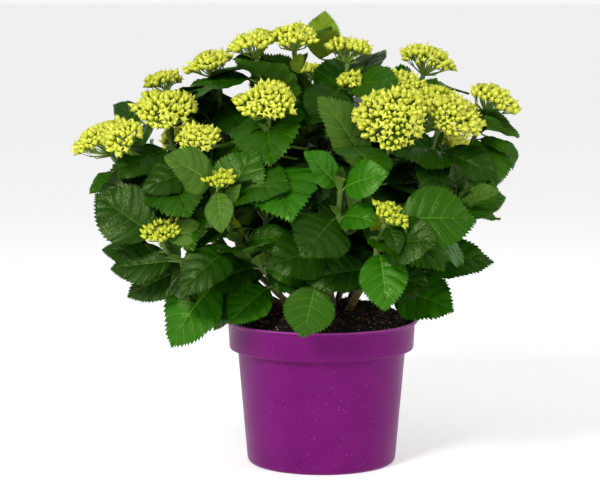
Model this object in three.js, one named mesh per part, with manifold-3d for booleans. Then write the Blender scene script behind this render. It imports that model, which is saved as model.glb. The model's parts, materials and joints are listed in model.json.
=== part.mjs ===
// A mophead hydrangea in bud, grown as a bush in a round plastic nursery pot.
// Millimetres, +Z up. The origin is the centre of the pot's flat underside, and -Y is the front.
// Bearings are degrees round the pot, anticlockwise from +X as seen from above, so 270 is the front.

import * as THREE from 'three';
import { mergeVertices } from 'three/addons/utils/BufferGeometryUtils.js';
import Module from 'manifold-3d';

const wasm = await Module();
wasm.setup();

// ---------------------------------------------------------------- driving sizes

const pot = {
  height: 172, lipRadius: 115, lipDrop: 3, lipSlope: 2, bandTopRadius: 111.4, bandFootRadius: 110,
  bandHeight: 35, bandSoftness: 2, bodyTopRadius: 100, footRadius: 89, footRounding: 5,
  wall: 1.6, floor: 2.4, sides: 32,
  drainHoles: 8, drainRadius: 5, drainRing: 66, drainSides: 12, drainDepth: 20,
};
const compost = {
  edgeDrop: 7, moundRise: 16, plateauRadius: 72, slopeRun: 16, slopeDrop: 6, ledge: 2, draft: 1,
};
const clear = 0.3;             // the air between solids that touch
const lipAir = 2;              // the air between the lip and foliage that hangs outside it
const moundTop = pot.height + compost.moundRise;
const foliageFloor = moundTop + 4;      // no mass above the pot hangs lower than this
const sidesOfMass = 12;
const ringsOfMass = 7;
// A shoot's dome: the powers that round its flanks and flatten its top, the depth of its lobes,
// and how far it draws in on its way down, from what share of the way and for what reach in full.
const dome = { flank: 0.7, crown: 1.25, lobes: 0.1, drawIn: 0.35, drawFrom: 0.3, fullReach: 200 };
// A mass stands over the pot when its middle is this little way outside the lip, and this high.
const overLip = { reach: 10, height: 20 };
const padTaper = { tip: 0.35, foot: 0.1 };      // the width a spray loses towards its two ends

// A flowering shoot: the bearing and reach of its flower head, the height of the head's top, the
// half-width of its foliage and how far the foliage hangs below the head.
const shoots = {
  far_left: { bearing: 184, reach: 256, top: 410, spread: 44, drop: 90 },
  left_front: { bearing: 198, reach: 241, top: 398, spread: 40, drop: 62 },
  left: { bearing: 198, reach: 190, top: 446, spread: 60, drop: 130 },
  left_back: { bearing: 162, reach: 199, top: 464, spread: 52, drop: 130 },
  upper_left: { bearing: 163, reach: 141, top: 489, spread: 58, drop: 150 },
  inner_left: { bearing: 216, reach: 163, top: 410, spread: 62, drop: 125 },
  front_left: { bearing: 232, reach: 191, top: 364, spread: 64, drop: 130 },
  low_left: { bearing: 213, reach: 219, top: 303, spread: 52, drop: 84 },
  crown_left: { bearing: 194, reach: 82, top: 514, spread: 56, drop: 130 },
  crown_front: { bearing: 223, reach: 44, top: 521, spread: 52, drop: 120 },
  front_upper: { bearing: 238, reach: 118, top: 456, spread: 66, drop: 130 },
  crown_right: { bearing: 35, reach: 34, top: 506, spread: 50, drop: 120 },
  front_right: { bearing: 305, reach: 135, top: 452, spread: 64, drop: 130 },
  inner_right: { bearing: 354, reach: 98, top: 466, spread: 54, drop: 110 },
  right_front: { bearing: 340, reach: 160, top: 448, spread: 58, drop: 120 },
  upper_right: { bearing: 21, reach: 136, top: 496, spread: 50, drop: 146 },
  far_right: { bearing: 357, reach: 202, top: 452, spread: 40, drop: 100 },
  low_front_right: { bearing: 292, reach: 200, top: 326, spread: 62, drop: 100 },
  front: { bearing: 277, reach: 160, top: 356, spread: 66, drop: 140 },
  right: { bearing: 331, reach: 182, top: 336, spread: 50, drop: 80 },
  side_right: { bearing: 30, reach: 192, top: 388, spread: 50, drop: 130 },
  back_right: { bearing: 47, reach: 188, top: 424, spread: 66, drop: 150 },
  back_inner: { bearing: 68, reach: 140, top: 456, spread: 62, drop: 140 },
  back_high: { bearing: 98, reach: 112, top: 474, spread: 62, drop: 140 },
  back: { bearing: 92, reach: 208, top: 402, spread: 66, drop: 150 },
  back_left: { bearing: 119, reach: 182, top: 434, spread: 66, drop: 150 },
  side_back: { bearing: 142, reach: 216, top: 398, spread: 62, drop: 140 },
  side_left: { bearing: 166, reach: 222, top: 372, spread: 56, drop: 120 },
  low_back_right: { bearing: 70, reach: 218, top: 330, spread: 62, drop: 110 },
  low_back_left: { bearing: 122, reach: 220, top: 326, spread: 62, drop: 110 },
};

// A leafy spray without a flower: where its longest leaf ends, what it springs from, which is a
// mass or the part of a stem that is this share of the way up, its length, and half its width and
// thickness.
const sprays = {
  low_left_leaf: {
    bearing: 207, reach: 200, tip: 154, stem: 'low_left', share: 0.6, width: 27, thick: 12,
  },
  left_tip_leaf: {
    bearing: 195, reach: 235, tip: 203, stem: 'low_left', share: 0.78, width: 26, thick: 16,
  },
  left_mid_leaf: {
    bearing: 189, reach: 258, tip: 261, mass: 'low_left', length: 92, width: 30, thick: 19,
  },
  left_big_leaf: {
    bearing: 193, reach: 268, tip: 332, mass: 'inner_left', length: 99, width: 36, thick: 26,
  },
  upper_left_leaf: {
    bearing: 180, reach: 247, tip: 428, mass: 'left', length: 64, width: 15, thick: 9,
  },
  rim_front_leaf: {
    bearing: 262, reach: 152, tip: 172, mass: 'front', length: 74, width: 25, thick: 10,
  },
  rim_left_leaf: {
    bearing: 222, reach: 142, tip: 178, stem: 'front_left', share: 0.3, width: 22, thick: 12,
  },
  side_low_leaf: {
    bearing: 202, reach: 138, tip: 162, stem: 'low_left', share: 0.42, width: 21, thick: 10,
  },
  low_right_leaf: {
    bearing: 339, reach: 166, tip: 191, stem: 'right', share: 0.22, width: 27, thick: 17,
  },
  right_mid_leaf: {
    bearing: 349, reach: 206, tip: 246, stem: 'right', share: 0.5, width: 27, thick: 17,
  },
  right_high_leaf: {
    bearing: 350, reach: 214, tip: 336, mass: 'right', length: 74, width: 28, thick: 17,
  },
  far_right_leaf: {
    bearing: 357, reach: 225, tip: 346, mass: 'far_right', length: 66, width: 18, thick: 11,
  },
};
// The one leaf that stands up behind the highest flowers.
const crownLeaf = { bearing: 75, reach: 22, foot: 470, top: 537, width: 32, thick: 9 };

// The shaded heart of the bush, which the shoots stand round.
const hearts = {
  heart_low: { x: -6, y: 6, low: 210, high: 330, width: 120 },
  heart_high: { x: -10, y: 8, low: 300, high: 460, width: 104 },
};

// A woody stem: where its foot stands in the compost, its thickness there and the mass it feeds.
const stems = {
  low_left: { bearing: 203, radius: 48, thick: 8, feeds: 'low_left' },
  left: { bearing: 186, radius: 26, thick: 10, feeds: 'left' },
  side_left: { bearing: 158, radius: 44, thick: 8, feeds: 'side_left' },
  front_left: { bearing: 228, radius: 56, thick: 8, feeds: 'front_left' },
  front: { bearing: 275, radius: 40, thick: 9, feeds: 'front' },
  front_right: { bearing: 303, radius: 58, thick: 9, feeds: 'low_front_right' },
  right: { bearing: 2, radius: 62, thick: 9, feeds: 'right' },
  back_right: { bearing: 36, radius: 42, thick: 9, feeds: 'back_right' },
  back_inner: { bearing: 66, radius: 50, thick: 8, feeds: 'low_back_right' },
  back: { bearing: 95, radius: 34, thick: 10, feeds: 'back' },
  back_left: { bearing: 126, radius: 48, thick: 8, feeds: 'low_back_left' },
  middle: { bearing: 330, radius: 14, thick: 12, feeds: 'heart_low' },
};
const stemSides = 8;
const stemSteps = 6;
const stemTaper = 0.62;        // the thickness at the far end, as a share of that at the foot
const stemBend = { across: 0.35, up: 0.5 };     // where a stem bends, as shares of its way

// ---------------------------------------------------------------- small helpers

const radians = THREE.MathUtils.degToRad;

function outward(bearing) {
  return new THREE.Vector3(Math.cos(radians(bearing)), Math.sin(radians(bearing)), 0);
}

function place(bearing, reach, height) {
  return outward(bearing).multiplyScalar(reach).setZ(height);
}

function finish(colour, roughness) {
  return new THREE.MeshStandardMaterial({ color: colour, roughness, metalness: 0 });
}

function onlyPositions(geometry) {
  geometry.deleteAttribute('normal');
  geometry.deleteAttribute('uv');
  return mergeVertices(geometry, 1e-3);
}

function toSolid(geometry) {
  const merged = onlyPositions(geometry);
  const vertProperties = new Float32Array(merged.attributes.position.array);
  const triVerts = new Uint32Array(merged.index.array);
  return new wasm.Manifold(new wasm.Mesh({ numProp: 3, vertProperties, triVerts }));
}

function fromSolid(solid) {
  const mesh = solid.getMesh();
  const geometry = new THREE.BufferGeometry();
  geometry.setAttribute('position', new THREE.BufferAttribute(mesh.vertProperties, mesh.numProp));
  geometry.setIndex(new THREE.BufferAttribute(mesh.triVerts, 1));
  return geometry;
}

function turned(profile, sides) {
  const points = profile.map(([radius, height]) => new THREE.Vector2(radius, height));
  return new THREE.LatheGeometry(points, sides).rotateX(Math.PI / 2);
}

// ---------------------------------------------------------------- pot and compost

const bandFoot = pot.height - pot.bandHeight;

function innerRadius(height) {
  // The inside of the pot, one wall in from the outside, in the body and in the band above it.
  const share = height / bandFoot;
  const body = THREE.MathUtils.lerp(pot.footRadius, pot.bodyTopRadius, share) - pot.wall;
  return height < bandFoot + pot.wall ? body : pot.bandFootRadius - pot.wall;
}

function potGeometry() {
  const soft = pot.bandSoftness;
  const lipFoot = pot.height - pot.lipDrop;
  const cornerCut = pot.footRounding * (1 - Math.SQRT1_2);
  const outside = [
    [0, 0], [pot.footRadius - pot.footRounding, 0], [pot.footRadius - cornerCut, cornerCut],
    [pot.footRadius, pot.footRounding], [pot.bodyTopRadius, bandFoot],
    [pot.bandFootRadius - soft, bandFoot], [pot.bandFootRadius, bandFoot + soft],
    [pot.bandTopRadius, lipFoot - pot.lipSlope], [pot.lipRadius, lipFoot],
    [pot.lipRadius, pot.height],
  ];
  const inside = [
    [pot.lipRadius - pot.wall, pot.height],
    [pot.bandTopRadius - pot.wall, lipFoot - pot.lipSlope / 2],
    [innerRadius(pot.height), bandFoot + pot.wall + soft],
    [innerRadius(bandFoot), bandFoot + pot.wall],
    [innerRadius(pot.footRounding), pot.footRounding], [0, pot.floor],
  ];
  let solid = toSolid(turned([...outside, ...inside], pot.sides));
  for (let i = 0; i < pot.drainHoles; i += 1) {
    const hole = new THREE.CylinderGeometry(
      pot.drainRadius, pot.drainRadius, pot.drainDepth, pot.drainSides,
    );
    const at = place((360 / pot.drainHoles) * (i + 0.5), pot.drainRing, 0);
    solid = solid.subtract(toSolid(hole.rotateX(Math.PI / 2).translate(at.x, at.y, at.z)));
  }
  return fromSolid(solid);
}

function compostGeometry() {
  const edge = pot.height - compost.edgeDrop;
  const inside = (height) => innerRadius(height) - clear;
  const floor = pot.footRounding + clear;
  const shoulder = bandFoot + pot.wall + clear;
  return turned([
    [0, floor], [inside(floor), floor], [inside(bandFoot), bandFoot],
    [inside(bandFoot), shoulder + compost.ledge],
    [inside(pot.height) - compost.draft, shoulder + 2 * compost.ledge],
    [inside(pot.height) - compost.draft, edge],
    [compost.plateauRadius + compost.slopeRun, moundTop - compost.slopeDrop],
    [compost.plateauRadius, moundTop], [0, moundTop],
  ], pot.sides);
}

// ---------------------------------------------------------------- the way a stem takes

function stemCurve({ bearing, radius, feeds }, masses) {
  const foot = place(bearing, radius, moundTop + clear);
  const goal = masses[feeds].middle;
  const bend = foot.clone().lerp(goal, stemBend.across);
  bend.z = foot.z + (goal.z - foot.z) * stemBend.up;
  return new THREE.QuadraticBezierCurve3(foot, bend, goal);
}

// ---------------------------------------------------------------- masses of foliage

// A slow ripple over the directions round a mass, so that no two masses bulge alike.
function ripple(direction, seed) {
  const around = Math.sin(3 * direction.x + 2.3 * seed) * Math.cos(2.5 * direction.y - 1.7 * seed);
  return 1 + 0.1 * around + 0.06 * Math.sin(4 * direction.z + 3.1 * direction.x + seed);
}

function unitSphere() {
  const sphere = new THREE.SphereGeometry(1, sidesOfMass, ringsOfMass).rotateX(Math.PI / 2);
  return onlyPositions(sphere);
}

function pointsOf(geometry) {
  const at = geometry.attributes.position;
  return Array.from({ length: at.count }, (_, i) => new THREE.Vector3().fromBufferAttribute(at, i));
}

// Each mass is its middle and the offsets of its corners from there, before its neighbours cut it.
// A shoot's mass is a flat dome under its flower, with a lobe for each side of its leaf pairs, and
// it draws in towards the pot as it goes down.
function shootMass({ bearing, reach, top, spread, drop }, seed) {
  const middle = place(bearing, reach, top - drop / 2);
  const drawn = Math.min(1, reach / dome.fullReach) * drop * dome.drawIn;
  const inward = outward(bearing).multiplyScalar(-drawn);
  const offsets = pointsOf(unitSphere()).map((unit) => {
    const down = Math.acos(THREE.MathUtils.clamp(unit.z, -1, 1)) / Math.PI;
    const round = Math.atan2(unit.y, unit.x);
    const lobes = 1 + dome.lobes * Math.cos(2 * round - seed);
    const flank = Math.sin(Math.PI * down) ** dome.flank;
    const radius = spread * flank * lobes * ripple(unit, seed);
    const height = drop * (0.5 - down ** dome.crown);
    return new THREE.Vector3(Math.cos(round) * radius, Math.sin(round) * radius, height)
      .addScaledVector(inward, Math.max(down - dome.drawFrom, 0));
  });
  return { middle, offsets };
}

function heartMass({ x, y, low, high, width }, seed) {
  const offsets = pointsOf(unitSphere()).map((unit) => unit.clone()
    .multiply(new THREE.Vector3(width, width, (high - low) / 2))
    .multiplyScalar(ripple(unit, seed) / 1.1));
  return { middle: new THREE.Vector3(x, y, (low + high) / 2), offsets };
}

// A spray is a thick leaf-shaped pad: widest near its stem, drawn out to a point at its tip.
function padMass(base, tip, flatUp, width, thick, seed) {
  const along = tip.clone().sub(base).normalize();
  const across = new THREE.Vector3().crossVectors(flatUp, along).normalize();
  const through = new THREE.Vector3().crossVectors(along, across);
  const half = tip.distanceTo(base) / 2;
  const offsets = pointsOf(unitSphere()).map((unit) => {
    const narrowing = 1 - padTaper.tip * Math.max(unit.z, 0) - padTaper.foot * Math.max(-unit.z, 0);
    const swell = Math.abs(unit.z) > 0.999 ? 1 : ripple(unit, seed);
    return new THREE.Vector3()
      .addScaledVector(along, unit.z * half)
      .addScaledVector(across, unit.x * width * narrowing * swell)
      .addScaledVector(through, unit.y * thick * narrowing);
  });
  return { middle: tip.clone().add(base).multiplyScalar(0.5), offsets };
}

function sprayMass({ bearing, reach, tip, mass, length, stem, share, width, thick }, masses, seed) {
  const end = place(bearing, reach, tip);
  const from = stem ? stemCurve(stems[stem], masses).getPoint(share) : masses[mass].middle;
  const base = end.clone().add(from.clone().sub(end).setLength(length ?? end.distanceTo(from)));
  const steep = Math.abs(end.clone().sub(base).normalize().z);
  const flatUp = outward(bearing).multiplyScalar(steep).setZ(1 - steep);
  return { ...padMass(base, end, flatUp, width, thick, seed), stem };
}

function crownLeafMass(seed) {
  const { bearing, reach, foot, top, width, thick } = crownLeaf;
  const end = place(bearing, reach, top);
  return padMass(place(bearing, reach + 8, foot), end, outward(270), width, thick, seed);
}

function allMasses() {
  const masses = {};
  let seed = 1;
  for (const [name, sizes] of Object.entries(hearts)) masses[name] = heartMass(sizes, seed++);
  for (const [name, sizes] of Object.entries(shoots)) masses[name] = shootMass(sizes, seed++);
  for (const [name, sizes] of Object.entries(sprays)) {
    masses[name] = sprayMass(sizes, masses, seed++);
  }
  masses.crown_leaf = crownLeafMass(seed);
  return masses;
}

function extent(mass, direction) {
  return Math.max(...mass.offsets.map((offset) => offset.dot(direction)));
}

// The flat that a mass may not pass on its way to its neighbour, as a direction and a distance.
function flatTowards(mass, other) {
  const way = other.middle.clone().sub(mass.middle);
  const distance = way.length();
  way.normalize();
  const own = extent(mass, way);
  const others = extent(other, way.clone().negate());
  if (own + others < distance) return null;
  return { way, limit: (distance * own) / (own + others) - clear / 2 };
}

// The flat that keeps a mass off the compost, or off the pot's lip where it hangs outside it.
function flatTowardsPot(mass) {
  const isOverPot = Math.hypot(mass.middle.x, mass.middle.y) < pot.lipRadius + overLip.reach;
  const height = mass.middle.z - foliageFloor;
  const isHigh = height > overLip.height;
  if (isOverPot && isHigh) return { way: new THREE.Vector3(0, 0, -1), limit: height };
  const lip = new THREE.Vector3(mass.middle.x, mass.middle.y, 0)
    .setLength(pot.lipRadius).setZ(pot.height);
  const way = lip.sub(mass.middle);
  return { way: way.clone().normalize(), limit: way.length() - lipAir };
}

function findFlats(masses) {
  for (const mass of Object.values(masses)) {
    const others = Object.values(masses).filter((other) => other !== mass);
    mass.flats = others.map((other) => flatTowards(mass, other)).filter(Boolean);
    mass.flats.push(flatTowardsPot(mass));
  }
}

// A mass is star-shaped about its middle, so each corner is drawn in until no flat cuts it off.
function massGeometry(mass, grown = 0) {
  const geometry = unitSphere();
  const at = geometry.attributes.position;
  mass.offsets.forEach((offset, i) => {
    let share = 1;
    for (const { way, limit } of mass.flats) {
      const along = offset.dot(way);
      if (along > limit) share = Math.min(share, limit / along);
    }
    const trimmed = offset.clone().multiplyScalar(share);
    trimmed.setLength(trimmed.length() + grown).add(mass.middle);
    at.setXYZ(i, trimmed.x, trimmed.y, trimmed.z);
  });
  return geometry;
}

// ---------------------------------------------------------------- stems

// A tapering round limb along a curve, with its foot cut flat and level.
function limbGeometry(curve, thick) {
  const limb = new THREE.CylinderGeometry(
    (thick / 2) * stemTaper, thick / 2, 1, stemSides, stemSteps,
  );
  const at = limb.attributes.position;
  for (let i = 0; i < at.count; i += 1) {
    const share = at.getY(i) + 0.5;
    const along = curve.getTangent(share);
    const side = new THREE.Vector3().crossVectors(new THREE.Vector3(0, 1, 0), along).normalize();
    const front = new THREE.Vector3().crossVectors(along, side);
    const point = curve.getPoint(share)
      .addScaledVector(side, at.getX(i))
      .addScaledVector(front, -at.getZ(i));
    if (share < 1e-6) point.addScaledVector(along, (curve.getPoint(0).z - point.z) / along.z);
    at.setXYZ(i, point.x, point.y, point.z);
  }
  return limb;
}

// A stem leaves the compost steeply, leans out and ends on the underside of the first mass it meets.
function stemGeometry(name, masses, grownMasses) {
  let limb = toSolid(limbGeometry(stemCurve(stems[name], masses), stems[name].thick));
  for (const [other, grown] of Object.entries(grownMasses)) {
    if (masses[other].stem !== name) limb = limb.subtract(grown);
  }
  const lowest = limb.decompose().reduce((low, piece) => (
    piece.boundingBox().min[2] < low.boundingBox().min[2] ? piece : low));
  return fromSolid(lowest);
}

// A spray that springs from a stem is hollowed where it meets the stem, so that it hugs it.
function sprayOnStem(mass, masses) {
  const { thick } = stems[mass.stem];
  const stem = toSolid(limbGeometry(stemCurve(stems[mass.stem], masses), thick + 2 * clear));
  const pieces = toSolid(massGeometry(mass)).subtract(stem).decompose();
  return fromSolid(pieces.reduce((big, piece) => (piece.volume() > big.volume() ? piece : big)));
}

// ---------------------------------------------------------------- the whole plant

const purplePlastic = finish(0x7c2076, 0.35);
const peat = finish(0x2a1b12, 0.95);
const bark = finish(0x5b6a2c, 0.7);
const leafGreen = finish(0x2c5514, 0.5);
const budGreen = finish(0x8fa03a, 0.6);

const plant = new THREE.Group();

function add(name, geometry, material) {
  const mesh = new THREE.Mesh(geometry, material);
  mesh.name = name;
  plant.add(mesh);
}

const masses = allMasses();
findFlats(masses);
const grownMasses = Object.fromEntries(Object.entries(masses).map(
  ([name, mass]) => [name, toSolid(massGeometry(mass, clear))],
));

add('pot', potGeometry(), purplePlastic);
add('compost', compostGeometry(), peat);
for (const name of Object.keys(stems)) {
  add(`stem_${name}`, stemGeometry(name, masses, grownMasses), bark);
}
for (const [name, mass] of Object.entries(masses)) {
  const geometry = mass.stem ? sprayOnStem(mass, masses) : massGeometry(mass);
  add(`foliage_${name}`, geometry, name in shoots ? budGreen : leafGreen);
}

export default plant;
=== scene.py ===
# %% [markdown]
# # A mophead hydrangea in its nursery pot
#
# The frame below is the plain solid model: a pot, its compost, twelve stems and forty-five masses of
# foliage. This lesson grows a real-looking shrub inside it. Each mass says where its flower head and
# its leaves belong, and the script puts shoots, leaves and buds there, so the crown keeps the
# frame's outline and its gaps. Lengths are in millimetres until a mesh is made.

# %% The frame
import json
import math

import bpy
import numpy as np
from mathutils import Euler, Matrix, Vector
from mathutils.bvhtree import BVHTree

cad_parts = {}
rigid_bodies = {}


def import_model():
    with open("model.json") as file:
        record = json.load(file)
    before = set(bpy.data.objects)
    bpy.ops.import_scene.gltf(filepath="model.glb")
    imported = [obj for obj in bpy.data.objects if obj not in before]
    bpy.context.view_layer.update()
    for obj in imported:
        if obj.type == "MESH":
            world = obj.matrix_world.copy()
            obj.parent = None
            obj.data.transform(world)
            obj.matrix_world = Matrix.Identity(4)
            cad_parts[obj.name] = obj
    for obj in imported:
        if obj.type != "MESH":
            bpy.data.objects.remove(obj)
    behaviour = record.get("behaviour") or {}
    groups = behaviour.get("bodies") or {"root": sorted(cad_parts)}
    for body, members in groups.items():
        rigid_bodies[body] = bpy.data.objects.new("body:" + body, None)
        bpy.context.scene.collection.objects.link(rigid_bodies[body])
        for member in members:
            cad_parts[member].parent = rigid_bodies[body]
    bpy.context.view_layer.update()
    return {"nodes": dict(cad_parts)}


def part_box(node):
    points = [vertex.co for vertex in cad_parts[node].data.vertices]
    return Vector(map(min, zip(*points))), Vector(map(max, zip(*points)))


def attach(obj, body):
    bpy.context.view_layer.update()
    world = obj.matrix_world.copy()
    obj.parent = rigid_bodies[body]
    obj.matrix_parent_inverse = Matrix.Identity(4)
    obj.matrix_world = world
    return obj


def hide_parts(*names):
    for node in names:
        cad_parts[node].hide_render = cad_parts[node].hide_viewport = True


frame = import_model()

MM = 0.001
UP = np.array([0.0, 0.0, 1.0])
masses = sorted(name for name in frame["nodes"] if name.startswith("foliage_"))
stem_nodes = sorted(name for name in frame["nodes"] if name.startswith("stem_"))
print("masses", len(masses), "stems", len(stem_nodes))

# %% [markdown]
# ## Camera, floor and light
#
# The plant is seen from nearly its own height, a little from above, through a long lens that keeps
# the pot's sides nearly upright. A white room with one soft lamp at the front left, a weaker one at
# the right and a faint one behind gives bright leaves in front of a deep, dark heart, which is how a
# dense bush looks. The leaf tints add painted shade to that heart and painted light to the front.

# %% Camera
scene = bpy.context.scene
scene.view_settings.view_transform = "Standard"
camera_data = bpy.data.cameras.new("camera")
camera_data.lens = 125.2
camera_data.sensor_width = 36
camera_data.clip_end = 1500
camera = bpy.data.objects.new("camera", camera_data)
camera.location = (-0.0257, -2.465, 0.548)
camera.rotation_euler = Euler((math.radians(90 - 6.53), 0, 0))
scene.collection.objects.link(camera)
scene.camera = camera
print(f"camera {camera.location.z / MM:.0f} mm up and {-camera.location.y / MM:.0f} mm away")

# %% Floor and lamps
floor_half = 500.0
floor_mesh = bpy.data.meshes.new("floor")
floor_mesh.from_pydata(
    [(x * floor_half, y * floor_half, 0) for x, y in ((-1, -1), (1, -1), (1, 1), (-1, 1))],
    [], [(0, 1, 2, 3)],
)
floor = bpy.data.objects.new("floor", floor_mesh)
scene.collection.objects.link(floor)


def lamp(name, place, size, watts):
    """A square soft lamp that looks at the middle of the plant."""
    data = bpy.data.lights.new(name, "AREA")
    data.size = size
    data.energy = watts
    lit = bpy.data.objects.new(name, data)
    lit.location = place
    look = Vector((0, 0, 0.3)) - Vector(place)
    lit.rotation_euler = look.to_track_quat("-Z", "Y").to_euler()
    scene.collection.objects.link(lit)


lamp("key_lamp", (-1.1, -1.9, 1.7), 0.6, 44)
lamp("right_lamp", (1.7, -0.9, 0.9), 0.9, 7)
lamp("back_lamp", (0.3, 1.9, 1.6), 1.2, 3)

# The room is brightest at the level of the eye and dimmer overhead.
world = bpy.data.worlds.new("white_room")
world.use_nodes = True
nodes, links = world.node_tree.nodes, world.node_tree.links
height = nodes.new("ShaderNodeSeparateXYZ")
dimming = nodes.new("ShaderNodeMapRange")
dimming.inputs["From Max"].default_value = 0.3
dimming.inputs["To Min"].default_value = 0.95
dimming.inputs["To Max"].default_value = 0.52
nodes["Background"].inputs["Color"].default_value = (1, 1, 1, 1)
links.new(nodes.new("ShaderNodeTexCoord").outputs["Generated"], height.inputs[0])
links.new(height.outputs["Z"], dimming.inputs["Value"])
links.new(dimming.outputs[0], nodes["Background"].inputs["Strength"])
scene.world = world

# %% [markdown]
# ## Small tools
#
# Every finish and every growing rule below is a tree of nodes. A few helpers keep them readable: one
# adds a node with its settings and its wires, some add the nodes that come back most, and one opens
# a new group with named sockets.


# %% Node helpers
def add(tree, kind, inputs=None, **settings):
    """Adds a node. An input is a plain value, or another node's output to wire in."""
    node = tree.nodes.new(kind)
    for key, value in settings.items():
        setattr(node, key, value)
    for key, value in (inputs or {}).items():
        if isinstance(value, bpy.types.NodeSocket):
            tree.links.new(value, node.inputs[key])
        else:
            node.inputs[key].default_value = value
    return node


def maths(tree, operation, first, second=0.0, third=0.0):
    return add(tree, "ShaderNodeMath", {0: first, 1: second, 2: third}, operation=operation).outputs[0]


def vector_maths(tree, operation, first, second=(0, 0, 0), out=0):
    node = add(tree, "ShaderNodeVectorMath", {0: first}, operation=operation)
    if isinstance(second, bpy.types.NodeSocket):
        tree.links.new(second, node.inputs[3 if operation == "SCALE" else 1])
    elif operation == "SCALE":
        node.inputs["Scale"].default_value = second
    else:
        node.inputs[1].default_value = second
    return node.outputs[out]


def mapped(tree, value, start, end, low=0.0, high=1.0):
    """Maps the stretch from start to end onto low to high, and holds the value at both ends."""
    return add(tree, "ShaderNodeMapRange", {"Value": value, "From Min": start, "From Max": end,
                                            "To Min": low, "To Max": high}).outputs[0]


def blend(tree, share, first, second):
    """Mixes two colours by a share from 0 to 1."""
    return add(tree, "ShaderNodeMix", {0: share, 6: first, 7: second}, data_type="RGBA").outputs[2]


def said(tree, label, kind="FLOAT"):
    """What a mesh keeps under a name for each of its points or faces."""
    return add(tree, "GeometryNodeInputNamedAttribute", {"Name": label}, data_type=kind).outputs[0]


def varied(tree, low, high, seed, kind="FLOAT"):
    """A seeded random value between two others, new for each point."""
    first, out = {"FLOAT_VECTOR": (0, 0), "FLOAT": (2, 1), "INT": (4, 2)}[kind]
    return add(tree, "FunctionNodeRandomValue", {first: low, first + 1: high, "Seed": seed},
               data_type=kind).outputs[out]


def shapes_of(tree, inlet):
    """The shapes on the shelf that the inlet names, each apart and ready to be picked."""
    return add(tree, "GeometryNodeCollectionInfo", {
        "Collection": inlet.outputs["Shapes"], "Separate Children": True,
        "Reset Children": True}).outputs[0]


def made_real(tree, instances):
    return add(tree, "GeometryNodeRealizeInstances", {"Geometry": instances}).outputs[0]


def finished(tree, geometry, finish, **which):
    """Sets the finish of all of a geometry, or of the faces that a selection names."""
    return add(tree, "GeometryNodeSetMaterial",
               {"Geometry": geometry, "Material": finish, **which}).outputs[0]


def group(name, kind, inputs, outputs):
    """A new node group, with its inlet and outlet. Sockets are (name, type, default)."""
    tree = bpy.data.node_groups.new(name, kind)
    for label, socket_type, default in inputs:
        socket = tree.interface.new_socket(label, in_out="INPUT", socket_type="NodeSocket" + socket_type)
        if default is not None:
            socket.default_value = default
    for label, socket_type in outputs:
        tree.interface.new_socket(label, in_out="OUTPUT", socket_type="NodeSocket" + socket_type)
    return tree, tree.nodes.new("NodeGroupInput"), tree.nodes.new("NodeGroupOutput")


# %% Mesh helpers
def to_object(name, points, faces, edges=()):
    """A mesh object from points in millimetres."""
    mesh = bpy.data.meshes.new(name)
    mesh.from_pydata((np.asarray(points, float) * MM).tolist(), list(edges), faces)
    made = bpy.data.objects.new(name, mesh)
    scene.collection.objects.link(made)
    return made


def store(made, label, kind, values, domain="POINT"):
    """Keeps a value for each point or face, which a node tree reads by its name."""
    field = made.data.attributes.new(label, kind, domain)
    values = np.asarray(values, np.int32 if kind == "INT" else np.float32)
    field.data.foreach_set("vector" if kind == "FLOAT_VECTOR" else "value", values.ravel())


def grow(base, tree, values):
    """Runs a geometry tree on a base object and returns the plain mesh object that comes out."""
    modifier = base.modifiers.new("growth", "NODES")
    modifier.node_group = tree
    for item in tree.interface.items_tree:
        if item.in_out == "INPUT" and item.name in values:
            modifier[item.identifier] = values[item.name]
    graph = bpy.context.evaluated_depsgraph_get()
    mesh = bpy.data.meshes.new_from_object(base.evaluated_get(graph), depsgraph=graph)
    grown = bpy.data.objects.new(base.name.removesuffix("_plan"), mesh)
    scene.collection.objects.link(grown)
    bpy.data.objects.remove(base)
    return grown


def smooth(made):
    """Shades every face of a mesh smoothly."""
    for face in made.data.polygons:
        face.use_smooth = True


def walls(first, count, around):
    """Quads between rings of points that follow each other, from the point numbered first."""
    faces = []
    for ring in range(count):
        for k in range(around):
            a, b = first + ring * around + k, first + ring * around + (k + 1) % around
            faces.append((a, a + around, b + around, b))
    return faces


def triangles(made):
    return sum(len(face.vertices) - 2 for face in made.data.polygons)


def fit(made, slot, *nodes):
    """The piece rides on the one body, stands for its solids and hides them. The slot is not used."""
    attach(made, "root")
    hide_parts(*nodes)
    print(f"{made.name}: {triangles(made):,} triangles, stands for {len(nodes)} solids")

# %% [markdown]
# ## Finishes
#
# A leaf's gloss is never even, a pot picks up dust and bark is cracked. These small effects come
# back in several finishes, so each is a group of shader nodes that is built once. A group gives out
# only masks and heights. The shader itself stays in each material, with its own plain colour.

# %% Shared effects
def place_on(tree):
    """Where a shaded spot is on its object, in metres."""
    return add(tree, "ShaderNodeTexCoord").outputs["Object"]


def mottle_group():
    """Soft uneven patches: a roughness that wanders between two values, and a fine height."""
    tree, inlet, outlet = group(
        "mottle", "ShaderNodeTree",
        [("Patches", "Float", 40.0), ("Grain", "Float", 400.0),
         ("Glossy", "Float", 0.3), ("Dull", "Float", 0.5)],
        [("Roughness", "Float"), ("Height", "Float"), ("Patch", "Float")],
    )
    place = place_on(tree)
    broad = add(tree, "ShaderNodeTexNoise", {"Vector": place, "Scale": inlet.outputs["Patches"],
                                             "Detail": 3.0})
    fine = add(tree, "ShaderNodeTexNoise", {"Vector": place, "Scale": inlet.outputs["Grain"],
                                            "Detail": 2.0})
    low, high = 0.3, 0.7
    rough = mapped(tree, broad.outputs["Fac"], low, high, inlet.outputs["Glossy"],
                   inlet.outputs["Dull"])
    tree.links.new(rough, outlet.inputs["Roughness"])
    tree.links.new(fine.outputs["Fac"], outlet.inputs["Height"])
    tree.links.new(mapped(tree, broad.outputs["Fac"], low, high), outlet.inputs["Patch"])
    return tree


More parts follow.
